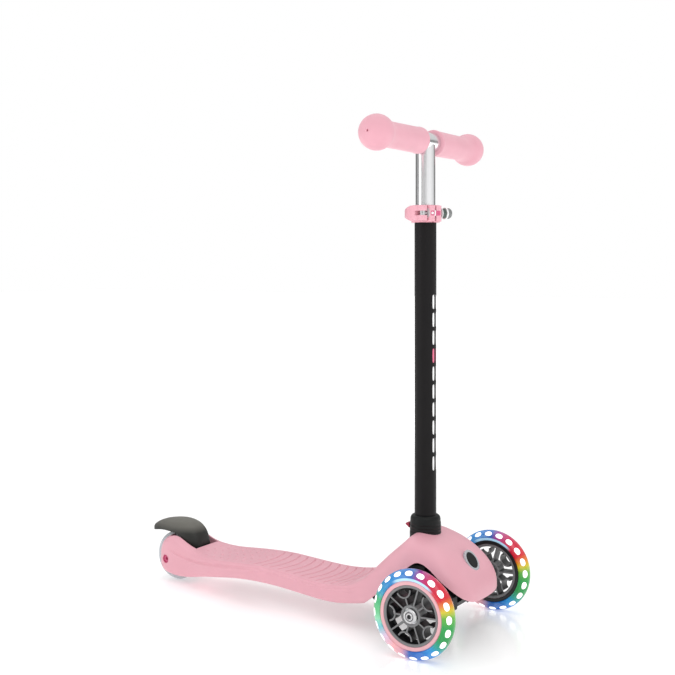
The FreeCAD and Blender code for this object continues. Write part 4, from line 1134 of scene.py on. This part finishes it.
# ---- floor, light and camera ------------------------------------------------------------
def make_floor():
    mat, nodes, links = material("studio_floor")
    shader = shader_of(nodes)
    shader.inputs["Base Color"].default_value = (0.93, 0.93, 0.93, 1.0)
    shader.inputs["Roughness"].default_value = 0.16
    shader.inputs["Specular IOR Level"].default_value = 0.6
    shader.inputs["Emission Color"].default_value = (1.0, 1.0, 1.0, 1.0)
    away = nodes.new("ShaderNodeVectorMath")
    away.operation = "LENGTH"
    links.new(nodes.new("ShaderNodeTexCoord").outputs["Object"], away.inputs[0])
    glow = remap(nodes, links, away.outputs["Value"], (0.5, 2.2), (0.30, 1.0), smooth=True)
    links.new(glow, shader.inputs["Emission Strength"])
    mesh = bpy.data.meshes.new("floor")
    size = 14.0
    corners = [(-size, -size, 0), (size, -size, 0), (size, size, 0), (-size, size, 0)]
    mesh.from_pydata(corners, [], [(0, 1, 2, 3)])
    mesh.materials.append(mat)
    floor = bpy.data.objects.new("floor", mesh)
    bpy.context.scene.collection.objects.link(floor)


def add_panel(name, position, target, width, height, power):
    light = bpy.data.lights.new(name, "AREA")
    light.shape = "RECTANGLE"
    light.size = width
    light.size_y = height
    light.energy = power
    lamp = bpy.data.objects.new(name, light)
    lamp.location = position
    lamp.rotation_euler = (Vector(target) - Vector(position)).to_track_quat("-Z", "Y").to_euler()
    bpy.context.scene.collection.objects.link(lamp)


# Studio brightness by compass direction, in degrees from straight ahead.
STUDIO_LEVELS = [
    (-180, 0.28), (-150, 0.32), (-110, 0.40), (-78, 0.44), (-64, 0.34), (-52, 0.36),
    (-38, 0.80), (0, 0.95), (44, 0.70), (62, 0.14), (150, 0.08), (180, 0.28)]
OVERHEAD_SPAN = (0.12, 0.26)  # from this share of straight up, the ceiling takes over
OVERHEAD_COLOUR = (0.76, 0.76, 0.76, 1.0)


def studio_level(nodes, links):
    """How bright the studio is by compass direction: a dark card in front, dark flats behind."""
    direction = nodes.new("ShaderNodeTexCoord").outputs["Generated"]
    parts = nodes.new("ShaderNodeSeparateXYZ")
    links.new(direction, parts.inputs["Vector"])
    angle = compute(nodes, links, "ARCTAN2", parts.outputs["Y"], parts.outputs["X"])
    levels = [(degrees, (bright, bright, bright)) for degrees, bright in STUDIO_LEVELS]
    around = ramp_of(nodes, links, remap(nodes, links, angle, HALF_TURNS), round_stops(levels))
    overhead = remap(nodes, links, parts.outputs["Z"], OVERHEAD_SPAN, smooth=True)
    return blend(nodes, links, around, OVERHEAD_COLOUR, overhead)


def make_light():
    world = bpy.data.worlds.new("studio")
    bpy.context.scene.world = world
    world.use_nodes = True
    nodes = world.node_tree.nodes
    links = world.node_tree.links
    background = nodes["Background"]
    path = nodes.new("ShaderNodeLightPath")
    level = nodes.new("ShaderNodeMapRange")
    level.inputs["To Max"].default_value = 1.0
    links.new(studio_level(nodes, links), level.inputs["To Min"])
    links.new(path.outputs["Is Camera Ray"], level.inputs["Value"])
    links.new(level.outputs["Result"], background.inputs["Strength"])
    background.inputs["Color"].default_value = (1.0, 1.0, 1.0, 1.0)
    middle_point = (0.1, 0.0, 0.3)
    add_panel("key_panel", (1.6, -1.6, 2.2), middle_point, 1.6, 1.6, 11.5)
    add_panel("side_panel", (-1.4, -2.0, 1.2), middle_point, 1.0, 1.8, 8.5)
    add_panel("top_panel", (0.0, 0.3, 2.6), middle_point, 2.4, 2.4, 13.0)


def make_camera():
    data = bpy.data.cameras.new("photo_camera")
    data.lens = 59.17
    data.sensor_width = 36.0
    data.shift_y = -0.1116
    camera = bpy.data.objects.new("photo_camera", data)
    azimuth = math.radians(32.11)
    camera.location = (AXLE_X + 0.702, -1.4389, 0.5314)
    camera.rotation_euler = (math.pi / 2, 0, azimuth)
    bpy.context.scene.collection.objects.link(camera)
    bpy.context.scene.camera = camera


make_floor()
make_light()
make_camera()
bpy.context.scene.view_settings.view_transform = "Standard"
